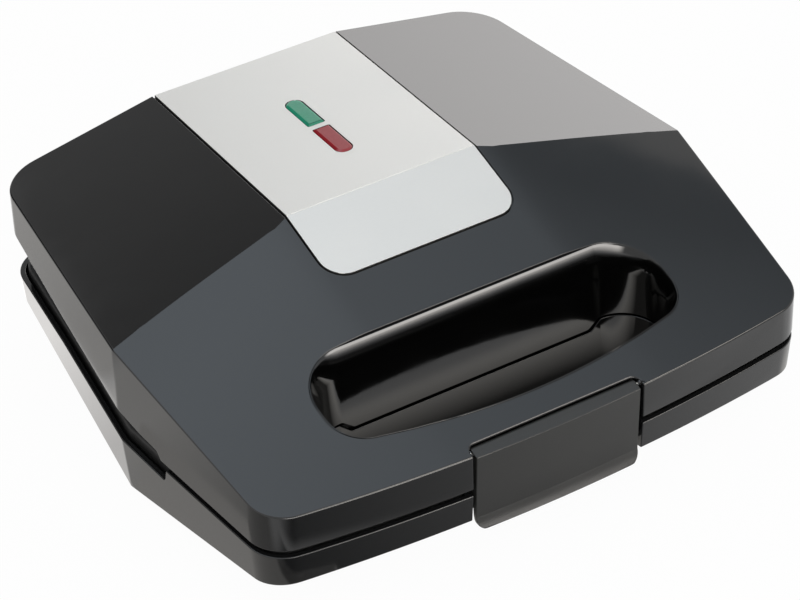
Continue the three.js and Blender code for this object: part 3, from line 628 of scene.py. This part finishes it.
class StudioSettings(bpy.types.PropertyGroup):
    azimuth: slider("Azimuth", "Turn of the camera round the object", math.radians(-30.694), subtype="ANGLE")
    elevation: slider("Elevation", "Height of the camera over the worktop", math.radians(37.545), subtype="ANGLE")
    roll: slider("Roll", "Turn of the camera about its own view", math.radians(-1.785), subtype="ANGLE")
    distance: slider("Distance", "From the lens to the point it is aimed at", 1.284, unit="LENGTH")
    lens: slider("Lens", "Focal length on a 36 mm sensor", 144.27, unit="CAMERA")
    ambient: slider("Ambient", "Level of the even light from all sides", 0.62)


class SnackMaker(bpy.types.PropertyGroup):
    housing: bpy.props.PointerProperty(type=HousingSizes)
    studio: bpy.props.PointerProperty(type=StudioSettings)


class SNACK_OT_finishes(bpy.types.Operator):
    """Makes the finishes and gives them to the carried-over parts"""
    bl_idname = "snack.finishes"
    bl_label = "Finishes"

    def execute(self, context):
        group = surface_group()
        for slot in FINISH_TABLE:
            FINISHES[slot] = finish(slot, group)
        for part in frame["record"]["subparts"]:
            node = frame["nodes"][part["node"]]
            if not node.material_slots:
                node.data.materials.append(None)
            for place in node.material_slots:
                place.link = "OBJECT"
                place.material = FINISHES[part["material_slot"]]
            pick(node)
            bpy.ops.object.shade_smooth_by_angle(angle=math.radians(28))
        return {"FINISHED"}


LID_BLANK = {"inset": 0.005, "over_roof": 0.0007, "over_top": 0.01}


class SNACK_OT_lid_shell(bpy.types.Operator):
    """Builds the faceted lid with its rolled edge, strip seat, slot and latch notch"""
    bl_idname = "snack.lid_shell"
    bl_label = "Lid shell"

    def execute(self, context):
        sizes = context.scene.snack_maker.housing
        roll = sizes.edge_roll
        rings = [ring(PLAN, BLANK_LOW)]
        for step in range(10):
            angle = math.radians(9 * step)
            distance, rise = roll * (1 - math.cos(angle)), -roll * (1 - math.sin(angle))
            rings.append(ring(inset(PLAN, distance), lambda x, y: roof_height(x, y) + rise))
        inside = inset(PLAN, LID_BLANK["inset"])
        rings.append(ring(inside, lambda x, y: roof_height(x, y) + LID_BLANK["over_roof"]))
        rings.append(ring(inside, ROOF_Z + LID_BLANK["over_top"]))
        lid = combine(lofted("lid_housing", rings), "INTERSECT", roof_body(0, sizes.fold))
        hollow = prism("hollow", inset(PLAN, WALL), CUT_LOW, FAR)
        combine(hollow, "INTERSECT", roof_body(ROOF_THICKNESS))
        combine(hollow, "DIFFERENCE", latch_notch(WALL))
        seat = prism("seat", inset(strip_outline(FAR), -STRIP["gap"]), CUT_LOW, CUT_HIGH)
        combine(seat, "DIFFERENCE", roof_body(STRIP["thickness"]))
        holes = [lens_hole(lens) for lens in LENSES]
        combine(lid, "DIFFERENCE", hollow, latch_notch(0), side_block("below", LID_EDGE, -FAR))
        soften(lid, sizes.rim, 9)
        combine(lid, "DIFFERENCE", slot_hole(LINER["ledge"]), seat, *holes)
        soften(lid, FINE_BREAK, 3, 50)
        for vertex in lid.data.vertices:
            if abs(vertex.co.x) < BOW_HALF:
                vertex.co.y = max(vertex.co.y, front_line(vertex.co.x))
        dress(lid, 11, "lid", "gloss_shell", "lid_shell")
        return {"FINISHED"}


STRIP = {"half": 0.0437, "front": -0.0255, "radius": 0.01, "thickness": 0.0016, "proud": 0.0003, "gap": 0.0008,
         "rear": 0.1186}
# The score line where the strip folds over: across the fold, and up from it
SCORE = [(-0.0003, 0.0002), (0, -0.0003), (0.0003, 0.0002)]
LENSES = {
    "green": {"front": 0.0599, "rear": 0.0811, "round_rear": True},
    "red": {"front": 0.0352, "rear": 0.0564, "round_rear": False},
}
LENS = {"half": 0.0038, "round": 0.0036, "square": 0.0005, "proud": 0.0009, "edge": 0.0009, "depth": 0.007}
# Shares of the lens's edge width and of how far it stands proud
LENS_EDGE = [(0, 0), (0.00005, 0.12), (0.2, 0.3), (0.85, 0.9), (0.97, 0.98), (1.15, 1)]


def strip_outline(rear):
    half, front, radius = STRIP["half"], STRIP["front"], STRIP["radius"]
    return rounded([(-half, front, radius), (half, front, radius), (half, rear), (-half, rear)])


def lens_outline(lens):
    spec = LENSES[lens]
    front_radius = LENS["square"] if spec["round_rear"] else LENS["round"]
    rear_radius = LENS["round"] if spec["round_rear"] else LENS["square"]
    half = LENS["half"]
    return rounded([
        (-half, spec["front"], front_radius), (half, spec["front"], front_radius),
        (half, spec["rear"], rear_radius), (-half, spec["rear"], rear_radius),
    ], 8)


def lens_hole(lens):
    return prism("lens_hole", inset(lens_outline(lens), -GAP), BLANK_LOW, CUT_HIGH)


class SNACK_OT_strip(bpy.types.Operator):
    """Builds the silver strip that folds over the front facet"""
    bl_idname = "snack.strip"
    bl_label = "Silver strip"

    def execute(self, context):
        strip = prism("silver_strip", strip_outline(STRIP["rear"]), BLANK_LOW, CUT_HIGH)
        combine(strip, "INTERSECT", roof_body(-STRIP["proud"]))
        combine(strip, "DIFFERENCE", roof_body(STRIP["thickness"] - GAP), *[lens_hole(lens) for lens in LENSES])
        soften(strip, FINE_BREAK)
        fold_z = ROOF_Z + STRIP["proud"]
        groove = [(CREASE_Y + across, fold_z + rise) for across, rise in SCORE]
        combine(strip, "DIFFERENCE", along_x("groove", groove, -STRIP["half"] - 0.001, STRIP["half"] + 0.001))
        dress(strip, 12, "lid", "trim_silver", "trim_panel")
        # The side walls and the front edge take satin black: the dark outline this draws round the strip is painted
        # shade of the gap in its seat.
        strip.data.materials.append(FINISHES["satin_black"])
        for face in strip.data.polygons:
            if abs(face.normal.x) > 0.5 or face.normal.y < -0.87:
                face.material_index = 1
        return {"FINISHED"}


class SNACK_OT_lenses(bpy.types.Operator):
    """Builds the green and the red indicator lens"""
    bl_idname = "snack.lenses"
    bl_label = "Indicator lenses"

    def execute(self, context):
        for lens in LENSES:
            outline = lens_outline(lens)
            rings = [ring(outline, lambda x, y: gable_height(x, y) - LENS["depth"])]
            for share, rise in LENS_EDGE:
                rings.append(ring(
                    inset(outline, share * LENS["edge"]), lambda x, y: gable_height(x, y) + LENS["proud"] * rise))
            piece = lofted(lens + "_indicator", rings)
            dress(piece, 20, "lid", lens + "_lens", lens + "_lens")
        return {"FINISHED"}


# The rolled lip, as distance outside the slot and height over the front facet
LIP_EDGE = [(0.00035, -0.0001), (0.00031, 0.00002), (0.00022, 0.0001), (0.00012, 0.00007), (0.00004, -0.00003),
            (0.00001, -0.00018)]
# Depths of the swollen wall's rings, and the ends of each seam's sloping step as x and z
SWELL_DEPTHS = (0.0005, 0.001, 0.002, 0.0035, 0.005, 0.0065, 0.008, 0.0095, 0.011)
SEAM_Y = (-0.13, -0.03)
SEAM_TOP = 0.08
UPPER_SEAM = [(0.0600, 0.0372), (0.0548, 0.0331)]
LOWER_SEAM = [(0.0610, 0.0362), (0.0558, 0.0317)]


class SNACK_OT_wells(bpy.types.Operator):
    """Builds the two liners of the finger slot, with the rolled lip and the stepped seam"""
    bl_idname = "snack.wells"
    bl_label = "Finger slot liners"

    def execute(self, context):
        wall, thin, bottom, seam = (LINER[key] for key in ("wall", "lip", "bottom", "seam"))
        lip = [(wall, -0.0022), (wall, -0.0016), (thin, -0.0016), *LIP_EDGE]
        upper = lofted("upper_slot_liner", [
            swollen(bottom), slot_ring(bottom, wall), slot_ring(LINER["outer_turn"], wall),
            *[slot_ring(under_roof(-rise), grow) for grow, rise in lip],
            *[swollen(under_roof(depth)) for depth in SWELL_DEPTHS], swollen(LINER["inner_turn"]),
        ], closed=True)
        combine(upper, "DIFFERENCE", self.seam_block(UPPER_SEAM, CUT_LOW))
        lower = lofted("lower_slot_liner", [
            swollen(keel_height), slot_ring(keel_height, wall), slot_ring(seam, wall), swollen(seam)], closed=True)
        combine(lower, "DIFFERENCE", self.seam_block(LOWER_SEAM, SEAM_TOP))
        for piece, body, node in ((upper, "lid", "upper_handle_well"), (lower, "base", "lower_handle_well")):
            soften(piece, 0.00025, 3, 50)
            dress(piece, 32, body, "well_black", node)
        return {"FINISHED"}

    def seam_block(self, step, far):
        """Cuts the seam's edge: level in the middle, with a sloping step near each end."""
        radius = LINER["seam_radius"]
        mirror = [(-x, z, radius) for x, z in reversed(step)]
        edge = step[0][1]
        profile = [(-FAR, far), (FAR, far), (FAR, edge), *[(x, z, radius) for x, z in step], *mirror, (-FAR, edge)]
        return along_y("seam", rounded(profile, 6), *SEAM_Y)


BASE_TOP = {"blank": 0.04, "hollow": 0.045}
CATCH = {"half": 0.02, "front": -0.114, "low": 0.0246, "high": 0.0274, "root": 0.001}
INLET_Z = 0.0257
INLET_HOLE = 0.0037


class SNACK_OT_base_shell(bpy.types.Operator):
    """Builds the base housing with its keel, cut-away rims and latch catch"""
    bl_idname = "snack.base_shell"
    bl_label = "Base shell"

    def execute(self, context):
        def layer(z, thickness):
            return ring(inset(PLAN, 0.0001 + BASE_DRAFT * (BASE_RIM_Z - z) + thickness), z)

        def over_keel(piece, raised):
            for slope in KEEL_SLOPES:
                slice_off(piece, (0, SIDE_CORNER_Y, KEEL_Z + raised), (0, slope, -1))
            return piece

        rim = context.scene.snack_maker.housing.rim
        base = over_keel(lofted("base_housing", [layer(UNDER_BASE, 0), layer(BASE_TOP["blank"], 0)]), 0)
        hollow = over_keel(lofted("hollow", [layer(UNDER_BASE, WALL), layer(BASE_TOP["hollow"], WALL)]), WALL)
        combine(hollow, "DIFFERENCE", latch_notch(WALL))
        combine(base, "DIFFERENCE", hollow, slot_hole(), latch_notch(0), side_block("above", BASE_EDGE, FAR))
        half = CATCH["half"]
        combine(base, "UNION", box(
            "bar", (-half, CATCH["front"], CATCH["low"]), (half, RECESS["back"] + CATCH["root"], CATCH["high"])))
        combine(base, "DIFFERENCE", rod("inlet", INLET_HOLE, 0.02, (0, REAR_CORNER[1], INLET_Z), ALONG_Y))
        soften(base, rim, 9)
        dress(base, 12, "base", "gloss_shell", "base_shell")
        return {"FINISHED"}


LATCH_AXIS = (-0.1135, 0.051)
LATCH = {"half": 0.0373, "barrel": 0.0021, "bore": 0.0015, "bottom": 0.0158, "corner": 0.0045, "top": 0.05166,
         "fold": 0.0216}
# Seen from the side, as y, z and a radius
HOOK = [(-0.1166, 0.0184), (-0.1122, 0.0204), (-0.1122, 0.0236, 0.0006), (-0.116, 0.0242)]
HOOK_HALF = 0.019


class SNACK_OT_latch(bpy.types.Operator):
    """Builds the latch: a bowed cover with a sloping ledge, a flared lower lip, a barrel and a hook"""
    bl_idname = "snack.latch"
    bl_label = "Latch"

    def execute(self, context):
        y, z = LATCH_AXIS
        half, barrel, bottom, top, fold = (LATCH[key] for key in ("half", "barrel", "bottom", "top", "fold"))
        slope = math.degrees(math.atan(FRONT_SLOPE))
        front_y = FRONT_CORNER[1] - FRONT_BOW
        # Seen from the side: round the barrel, down behind the cover and up the slope of the front facet
        turns = [math.radians(90 + slope - (140 + slope) * step / 16) for step in range(17)]
        cover = [(y + barrel * math.cos(turn), z + barrel * math.sin(turn)) for turn in turns]
        cover += [
            (y + 0.0004, z - 0.003), (-0.1148, fold + 0.0003), (-0.1169, bottom - 0.002), (-FAR, bottom - 0.002),
            (-FAR, top - FRONT_SLOPE * (FAR + front_y)),
        ]
        latch = along_x("front_latch", cover, -half - 0.002, half + 0.002)
        # Distance inside the plan outline and height, from the flared lower lip up past the top
        flare = [
            (-0.0001, bottom - 0.003), (-0.0006, bottom + 0.0005), (-0.00008, bottom + 0.0016),
            (0.00035, bottom + 0.0027), (0.00066, bottom + 0.0038), (0.00083, fold - 0.0008), (0.00104, fold),
            (0.00106, fold + 0.0008), (0.00005, top), (0.00005, top + 0.01),
        ]
        face = lofted("face", [ring(inset(PLAN, distance), height) for distance, height in flare])
        outline = rounded([
            (-half, bottom, LATCH["corner"]), (half, bottom, LATCH["corner"]), (half, 0.08), (-half, 0.08)], 10)
        combine(latch, "INTERSECT", face, along_y("view", outline, -0.13, -0.1))
        soften(latch, 0.0004, 9)
        combine(latch, "UNION", along_x("hook", rounded(HOOK, 3), -HOOK_HALF, HOOK_HALF))
        combine(latch, "DIFFERENCE", rod("bore", LATCH["bore"], 0.2, (0, y, z), ALONG_X, 24))
        dress(latch, 12, "latch", "satin_black", "latch")
        return {"FINISHED"}


FRAME_INSET = 0.00395
FRAME_ROUND = 0.0024
UPPER_RIM_Z = 0.03662
LOWER_RIM_Z = 0.03458
HINGE = {"y": 0.111, "z": 0.042, "barrel": 0.00482, "bore": 0.0023, "inner": 0.068, "outer": 0.092, "ear": 0.005,
         "play": 0.0005, "overhang": 0.0002}


class SNACK_OT_frames(bpy.types.Operator):
    """Rounds off the rims, the slot openings and the hinge barrels of the two frames"""
    bl_idname = "snack.frames"
    bl_label = "Frames"

    def execute(self, context):
        inner, outer, ear = HINGE["inner"], HINGE["outer"], HINGE["ear"]
        knuckle = [(inner + ear + HINGE["play"], outer - ear - HINGE["play"])]
        ears = [(inner, inner + ear), (outer - ear, outer)]
        for node, body, face, way, spans in (
                ("upper_frame", "lid", UPPER_RIM_Z, 1, knuckle), ("lower_frame", "base", LOWER_RIM_Z, -1, ears)):
            piece = copied(node, node.replace("frame", "plate_frame"))
            rings = []
            for step in range(7):
                turn = math.radians(15 * step)
                rings.append(ring(
                    inset(PLAN, FRAME_INSET + FRAME_ROUND * (1 - math.sin(turn))),
                    face + way * FRAME_ROUND * (1 - math.cos(turn))))
            rings.append(ring(inset(PLAN, FRAME_INSET), face + way * 0.03))
            combine(piece, "INTERSECT", lofted("rim", rings))
            combine(piece, "DIFFERENCE", slot_hole())
            for x0, x1 in spans:
                for side in (-1, 1):
                    middle = (side * (x0 + x1) / 2, HINGE["y"], HINGE["z"])
                    length = x1 - x0 + HINGE["overhang"]
                    combine(piece, "UNION", rod("barrel", HINGE["barrel"], length, middle, ALONG_X, 48))
            for side in (-1, 1):
                middle = (side * (inner + outer) / 2, HINGE["y"], HINGE["z"])
                combine(piece, "DIFFERENCE", rod("bore", HINGE["bore"], 0.04, middle, ALONG_X))
            dress(piece, 30, body, "heat_black", node)
        return {"FINISHED"}


PLATE = {"half_x": 0.108, "front": -0.046, "rear": 0.088, "radius": 0.009, "slab": 0.004}
POCKET = {"inner": 0.007, "outer": 0.101, "front": -0.0395, "rear": 0.0815, "ridge": 0.0045, "radius": 0.006}
# A pocket's wall, as distance inside the triangle and depth under the plate's face
POCKET_WALL = [
    (-0.0016, -0.001), (-0.0009, 0), (-0.0004, 0.0002), (0.0001, 0.0006), (0.0044, 0.0062), (0.0053, 0.0073),
    (0.0064, 0.0082), (0.0078, 0.0088), (0.0094, 0.009),
]
POCKET_SKIN = [(-0.0004, 0.002), (0.005, 0.011)]
PLATE_BOSSES = [(-0.054, 0.021), (0.054, 0.021), (0, -0.02)]
BOSS = {"radius": 0.004, "pilot": 0.0019, "length": 0.018, "foot": 0.0147}


class SNACK_OT_plates(bpy.types.Operator):
    """Builds the two cooking plates, each with four triangular pockets"""
    bl_idname = "snack.plates"
    bl_label = "Cooking plates"

    def execute(self, context):
        half_x, front, rear, radius = (PLATE[key] for key in ("half_x", "front", "rear", "radius"))
        outline = rounded([
            (-half_x, front, radius), (half_x, front, radius), (half_x, rear, radius), (-half_x, rear, radius)])
        lower = prism("lower_cooking_plate", outline, LOWER_FACE_Z - PLATE["slab"], LOWER_FACE_Z)
        soften(lower, 0.0007, 3)
        triangles = [self.pocket(side, at_rear) for side in (-1, 1) for at_rear in (False, True)]
        length, foot = BOSS["length"], BOSS["foot"]
        middle = foot + length / 2
        combine(lower, "UNION", *[rod("boss", BOSS["radius"], length, (x, y, middle)) for x, y in PLATE_BOSSES])
        combine(lower, "UNION", *[self.sunk("skin", triangle, POCKET_SKIN) for triangle in triangles])
        combine(lower, "DIFFERENCE", *[self.sunk("pocket", triangle, POCKET_WALL) for triangle in triangles])
        combine(lower, "DIFFERENCE", *[rod("pilot", BOSS["pilot"], length, (x, y, foot)) for x, y in PLATE_BOSSES])
        dress(lower, 30, "base", "non_stick", "lower_plate")
        upper = bpy.data.objects.new("upper_cooking_plate", lower.data.copy())
        bpy.context.scene.collection.objects.link(upper)
        upper.data.transform(Matrix.Translation((0, 0, UPPER_FACE_Z + LOWER_FACE_Z)) @ Matrix.Diagonal((1, 1, -1, 1)))
        face_outwards(upper)
        dress(upper, 30, "lid", "non_stick", "upper_plate")
        return {"FINISHED"}

    def pocket(self, side, at_rear):
        inner, outer, front, rear, ridge = (POCKET[key] for key in ("inner", "outer", "front", "rear", "ridge"))
        triangle = [(inner, rear), (inner, front + ridge), (outer - ridge, rear)] if at_rear else [
            (outer, front), (outer, rear - ridge), (inner + ridge, front)]
        points = [Vector((side * x, y)) for x, y in triangle]
        return points if side > 0 else points[::-1]

    def sunk(self, name, triangle, wall):
        return lofted(name, [
            ring(rounded([(*point, POCKET["radius"] - 0.45 * distance) for point in inset(triangle, distance)], 8),
                 LOWER_FACE_Z - depth)
            for distance, depth in wall])


FEET = {"front_left": (-0.098, -0.075), "front_right": (0.098, -0.075), "rear_left": (-0.096, 0.097),
        "rear_right": (0.096, 0.097)}
# Radius and height
FOOT_PROFILE = [(0.0084, 0.0012), (0.0090, 0.0013), (0.0094, 0.0017), (0.0096, 0.0025), (0.0122, 0.026)]
PAD_PROFILE = [(0.0064, 0), (0.0069, 0.0001), (0.0072, 0.0005), (0.0076, 0.003)]
# Radius, length and sides of the bores for the pad, the screw's head and the screw
FOOT_BORES = [(0.0079, 0.0066, 56), (0.0036, 0.016, 32), (0.0019, 0.08, 32)]


class SNACK_OT_feet(bpy.types.Operator):
    """Builds the four tapered feet with their rubber pads"""
    bl_idname = "snack.feet"
    bl_label = "Feet"

    def execute(self, context):
        for name, (x, y) in FEET.items():
            foot = turned("foot_" + name + "_moulding", FOOT_PROFILE, x, y)
            combine(foot, "DIFFERENCE", *[
                rod("bore", radius, length, (x, y, 0), sides=sides) for radius, length, sides in FOOT_BORES])
            slice_off(foot, (0, SIDE_CORNER_Y, KEEL_Z - GAP), (0, -KEEL_SLOPES[y > 0], 1))
            dress(foot, 30, "base", "satin_black", "foot_" + name)
            pad = turned("foot_" + name + "_pad", PAD_PROFILE, x, y)
            dress(pad, 30, "base", "pad_rubber", "foot_pad_" + name)
        return {"FINISHED"}


# Radius and y
INLET_PROFILE = [
    (0.0027, 0.1126), (0.0041, 0.1126), (0.0041, 0.1151), (0.0034, 0.1151), (0.0034, 0.1188), (0.0033, 0.1192),
    (0.003, 0.1194), (0.0027, 0.1193),
]


class SNACK_OT_inlet(bpy.types.Operator):
    """Builds the ring through which a cord would enter at the rear"""
    bl_idname = "snack.inlet"
    bl_label = "Cord inlet"

    def execute(self, context):
        ring_piece = lofted("cord_inlet_ring", [
            [Vector((r * c, y, INLET_Z + r * s)) for c, s in spokes(48)] for r, y in INLET_PROFILE], closed=True)
        dress(ring_piece, 40, "base", "satin_black", "cord_inlet")
        return {"FINISHED"}


AIM = (-0.005577, -0.011898, 0.045)
FLOOR_GLOW = 0.965
WHITE = (1, 1, 1)


class SNACK_OT_studio(bpy.types.Operator):
    """Sets the floor, the lights and the camera"""
    bl_idname = "snack.studio"
    bl_label = "Studio"

    def execute(self, context):
        settings = context.scene.snack_maker.studio
        self.camera(context, settings)
        self.floor()
        context.scene.world = self.world(settings.ambient)
        self.lamp((-0.25, -1.25, 1.15), 1.2, 1.9)
        for card in self.cards():
            self.card(*card)
        context.scene.view_settings.view_transform = "Standard"
        return {"FINISHED"}

    def camera(self, context, settings):
        azimuth, elevation, roll = settings.azimuth, settings.elevation, settings.roll
        back = Vector((
            math.sin(azimuth) * math.cos(elevation), -math.cos(azimuth) * math.cos(elevation), math.sin(elevation)))
        right = Vector((0, 0, 1)).cross(back).normalized()
        up = back.cross(right)
        across = right * math.cos(roll) + up * math.sin(roll)
        upward = up * math.cos(roll) - right * math.sin(roll)
        deselect()
        bpy.ops.object.camera_add()
        camera = context.object
        camera.name = "product_camera"
        turn = Matrix((across, upward, back)).transposed().to_4x4()
        camera.matrix_world = Matrix.Translation(Vector(AIM) + back * settings.distance) @ turn
        camera.data.lens = settings.lens
        camera.data.sensor_width = 36
        camera.data.clip_start = 0.01
        camera.data.clip_end = 50
        context.scene.camera = camera

    def floor(self):
        """A matt floor that glows where a camera or a reflection sees it, so that it stays an even white."""
        deselect()
        bpy.ops.mesh.primitive_plane_add(size=8)
        floor = bpy.context.object
        floor.name = "floor"
        material, tree = new_material("pale_floor")
        shader = tree.nodes["Principled BSDF"]
        feed(tree, shader, {"Base Color": (0.95, 0.95, 0.95, 1), "Roughness": 0.9, "Specular IOR Level": 0})
        share = add_node(tree, "Math", {0: seen_by(tree, "Camera", "Glossy"), 1: FLOOR_GLOW}, operation="MULTIPLY")
        glow = add_node(tree, "Emission", {"Strength": 1})
        mix = add_node(tree, "MixShader", {0: share[0], 1: shader.outputs[0], 2: glow[0]})
        feed(tree, tree.nodes["Material Output"], {"Surface": mix[0]})
        floor.data.materials.append(material)

    def world(self, ambient):
        world = bpy.data.worlds.new("studio")
        world.use_nodes = True
        tree = world.node_tree
        seen = seen_by(tree, "Camera", "Glossy", "Transmission")
        level = add_node(tree, "MapRange", {"Value": seen, "To Min": ambient, "To Max": 1})
        feed(tree, tree.nodes["Background"], {"Color": (1, 1, 1, 1), "Strength": level["Result"]})
        return world

    def lamp(self, place, size, radiance):
        """A square lamp aimed at the origin, which reflections do not see."""
        deselect()
        bpy.ops.object.light_add(type="AREA", location=place)
        lamp = bpy.context.object
        lamp.name = "overhead"
        lamp.rotation_euler = Vector(place).to_track_quat("Z", "Y").to_euler()
        lamp.data.shape = "RECTANGLE"
        lamp.data.size = lamp.data.size_y = size
        lamp.data.energy = radiance * math.pi * size * size
        lamp.visible_glossy = False
        lamp.visible_camera = False

    def cards(self):
        """Name, four corners, first and last level, the span between them, tint, and soft share of each side."""
        def flat(z, *corners):
            return [(*corner, z) for corner in corners]

        def lying(x0, y0, x1, y1, z=0.0008):
            return flat(z, (x0, y0), (x1, y0), (x0, y1), (x1, y1))

        def standing(direction, distance, size):
            towards = Vector(direction).normalized()
            turn = towards.to_track_quat("Z", "Y").to_matrix()
            across, upward = turn.col[0] * size[0] / 2, turn.col[1] * size[1] / 2
            middle = towards * distance
            return [middle - across - upward, middle + across - upward, middle - across + upward,
                    middle + across + upward]

        def over(axis, first, last):
            return [[place * (name == axis) for name in "XYZ"] for place in (first, last)]

        softbox = standing((0.583, 0.730, 0.357), 1.5, (0.8, 0.56))
        left_front = flat(0.0008, (-0.150, -0.13), (-0.09, -0.13), (-0.165, 0.022), (-0.09, -0.05))
        left_rear = flat(0.0009, (-0.1445, 0.031), (-0.09, -0.131), (-0.128, 0.16), (-0.09, 0.16))
        left_outer = flat(0.0006, (-0.24, 0.05), (-0.12, 0.05), (-0.24, 0.26), (-0.10, 0.26))
        return [
            ("overhead_card", lying(-1.6, -0.5, 1.9, 1.5, 2), (1.85, 0.5), over("X", 0.3, 1.7), (0.9, 1, 1.1), (0, 0)),
            ("dark_flag", standing((0.173, 0.742, 0.647), 1.5, (0.55, 0.5)), (0.6, 0.12), over("Z", 0.80, 1.1),
             WHITE, (0, 0)),
            ("rear_softbox", softbox, (4.6, 1.9), (softbox[2], softbox[1]), (1.02, 1, 0.99), (0, 0)),
            ("left_front_card", left_front, (0.75, 0.75), over("X", 0, 1), (1.03, 1, 0.96), (0.02, 0)),
            ("left_rear_card", left_rear, (1.1, 1.75), over("Y", 0.02, 0.1), (1.02, 1, 0.98), (0.02, 0)),
            ("left_outer_card", left_outer, (0.8, 0.6), over("Y", 0.2, 0.1), (1.02, 1, 0.97), (0.1, 0.1)),
            ("left_side_card", lying(-0.25, -0.14, -0.12, 0.07, 0.0005), (0.45, 0.88), over("Y", -0.06, 0.02),
             (1.02, 1, 0.97), (0.1, 0.1)),
            ("base_front_card", lying(-0.16, -0.148, 0.24, -0.121), (0.02, 1.1), over("X", -0.12, 0.17), WHITE,
             (0.08, 0.1)),
            ("lid_front_card", lying(-0.17, -0.25, 0.32, -0.148), (0.05, 1.3), over("X", -0.12, 0.18), WHITE,
             (0.11, 0.1)),
            ("slot_floor_card", lying(-0.11, -0.118, 0.16, -0.035), (1.7, 0.12), over("Y", -0.112, -0.085),
             (1.03, 1, 0.95), (0.15, 0.14)),
            ("far_floor_card", lying(-1.5, -2.5, 2.5, -0.33), (2, 0.05), over("Y", -1.5, -0.5), WHITE, (0, 0.02)),
            ("upper_front_card", standing((0.405, -0.65, 0.65), 1.6, (1.6, 0.6)), (9, 9), over("X", 0, 1),
             (1.06, 1, 0.92), (0.3, 0.3)),
            ("frontal_card", standing((0.08, -0.97, 0.16), 1.5, (2.2, 0.5)), (0.3, 11), over("Z", -0.03, 0.2),
             (1.04, 1, 0.96), (0.25, 0.1)),
            ("back_flag", standing((-0.55, 0.72, 0.3), 1.5, (1.5, 1.0)), (0.05, 0.05), over("X", 0, 1), WHITE,
             (0.05, 0.05)),
        ]

    def card(self, name, places, levels, span, tint, soft):
        """A card that only reflections see; its level runs from one place to another, and its sides fade out."""
        deselect()
        bpy.ops.mesh.primitive_plane_add(size=1)
        piece = bpy.context.object
        piece.name = name
        for vertex, place in zip(piece.data.vertices, places):
            vertex.co = place
        for kind in ("camera", "diffuse", "transmission", "shadow", "volume_scatter"):
            setattr(piece, "visible_" + kind, False)
        material, tree = new_material(name)
        tree.nodes.remove(tree.nodes["Principled BSDF"])
        where = add_node(tree, "TexCoord")
        start = Vector(span[0])
        way = Vector(span[1]) - start
        offset = add_node(tree, "VectorMath", {0: where["Object"], 1: start}, operation="SUBTRACT")
        along = add_node(
            tree, "VectorMath", {0: offset["Vector"], 1: way / way.length_squared}, operation="DOT_PRODUCT")
        level = add_node(tree, "MapRange", {"Value": along["Value"], "To Min": levels[0], "To Max": levels[1]})
        glow = add_node(tree, "Emission", {"Color": (*tint, 1), "Strength": level["Result"]})
        sides = add_node(tree, "SeparateXYZ", {0: where["UV"]})
        cover = 1
        for axis, share in zip("XY", soft):
            if share:
                nearest = add_node(tree, "Math", {0: sides[axis], 1: 0.5}, operation="PINGPONG")
                fade = add_node(
                    tree, "MapRange", {"Value": nearest[0], "From Max": share}, interpolation_type="SMOOTHSTEP")
                cover = add_node(tree, "Math", {0: cover, 1: fade["Result"]}, operation="MULTIPLY")[0]
        clear = add_node(tree, "BsdfTransparent")
        mix = add_node(tree, "MixShader", {0: cover, 1: clear[0], 2: glow[0]})
        feed(tree, tree.nodes["Material Output"], {"Surface": mix[0]})
        piece.data.materials.append(material)


class SNACK_PT_panel(bpy.types.Panel):
    bl_label = "Snack maker"
    bl_idname = "SNACK_PT_panel"
    bl_space_type = "VIEW_3D"
    bl_region_type = "UI"
    bl_category = "Snack maker"

    def draw(self, context):
        for group in (context.scene.snack_maker.housing, context.scene.snack_maker.studio):
            for name in group.__annotations__:
                self.layout.prop(group, name)
        for operator in OPERATORS:
            self.layout.operator(operator.bl_idname)


OPERATORS = (
    SNACK_OT_studio, SNACK_OT_finishes, SNACK_OT_lid_shell, SNACK_OT_strip, SNACK_OT_lenses, SNACK_OT_wells,
    SNACK_OT_base_shell, SNACK_OT_latch, SNACK_OT_frames, SNACK_OT_plates, SNACK_OT_feet, SNACK_OT_inlet,
)
CLASSES = (HousingSizes, StudioSettings, SnackMaker, *OPERATORS, SNACK_PT_panel)


def register():
    for cls in CLASSES:
        bpy.utils.register_class(cls)
    bpy.types.Scene.snack_maker = bpy.props.PointerProperty(type=SnackMaker)


def unregister():
    del bpy.types.Scene.snack_maker
    for cls in reversed(CLASSES):
        bpy.utils.unregister_class(cls)


def corners(bounds):
    return [list(corner) for corner in bounds]


def main():
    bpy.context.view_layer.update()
    register()
    for operator in OPERATORS:
        space, name = operator.bl_idname.split(".")
        getattr(getattr(bpy.ops, space), name)()


if __name__ == "__main__":
    main()
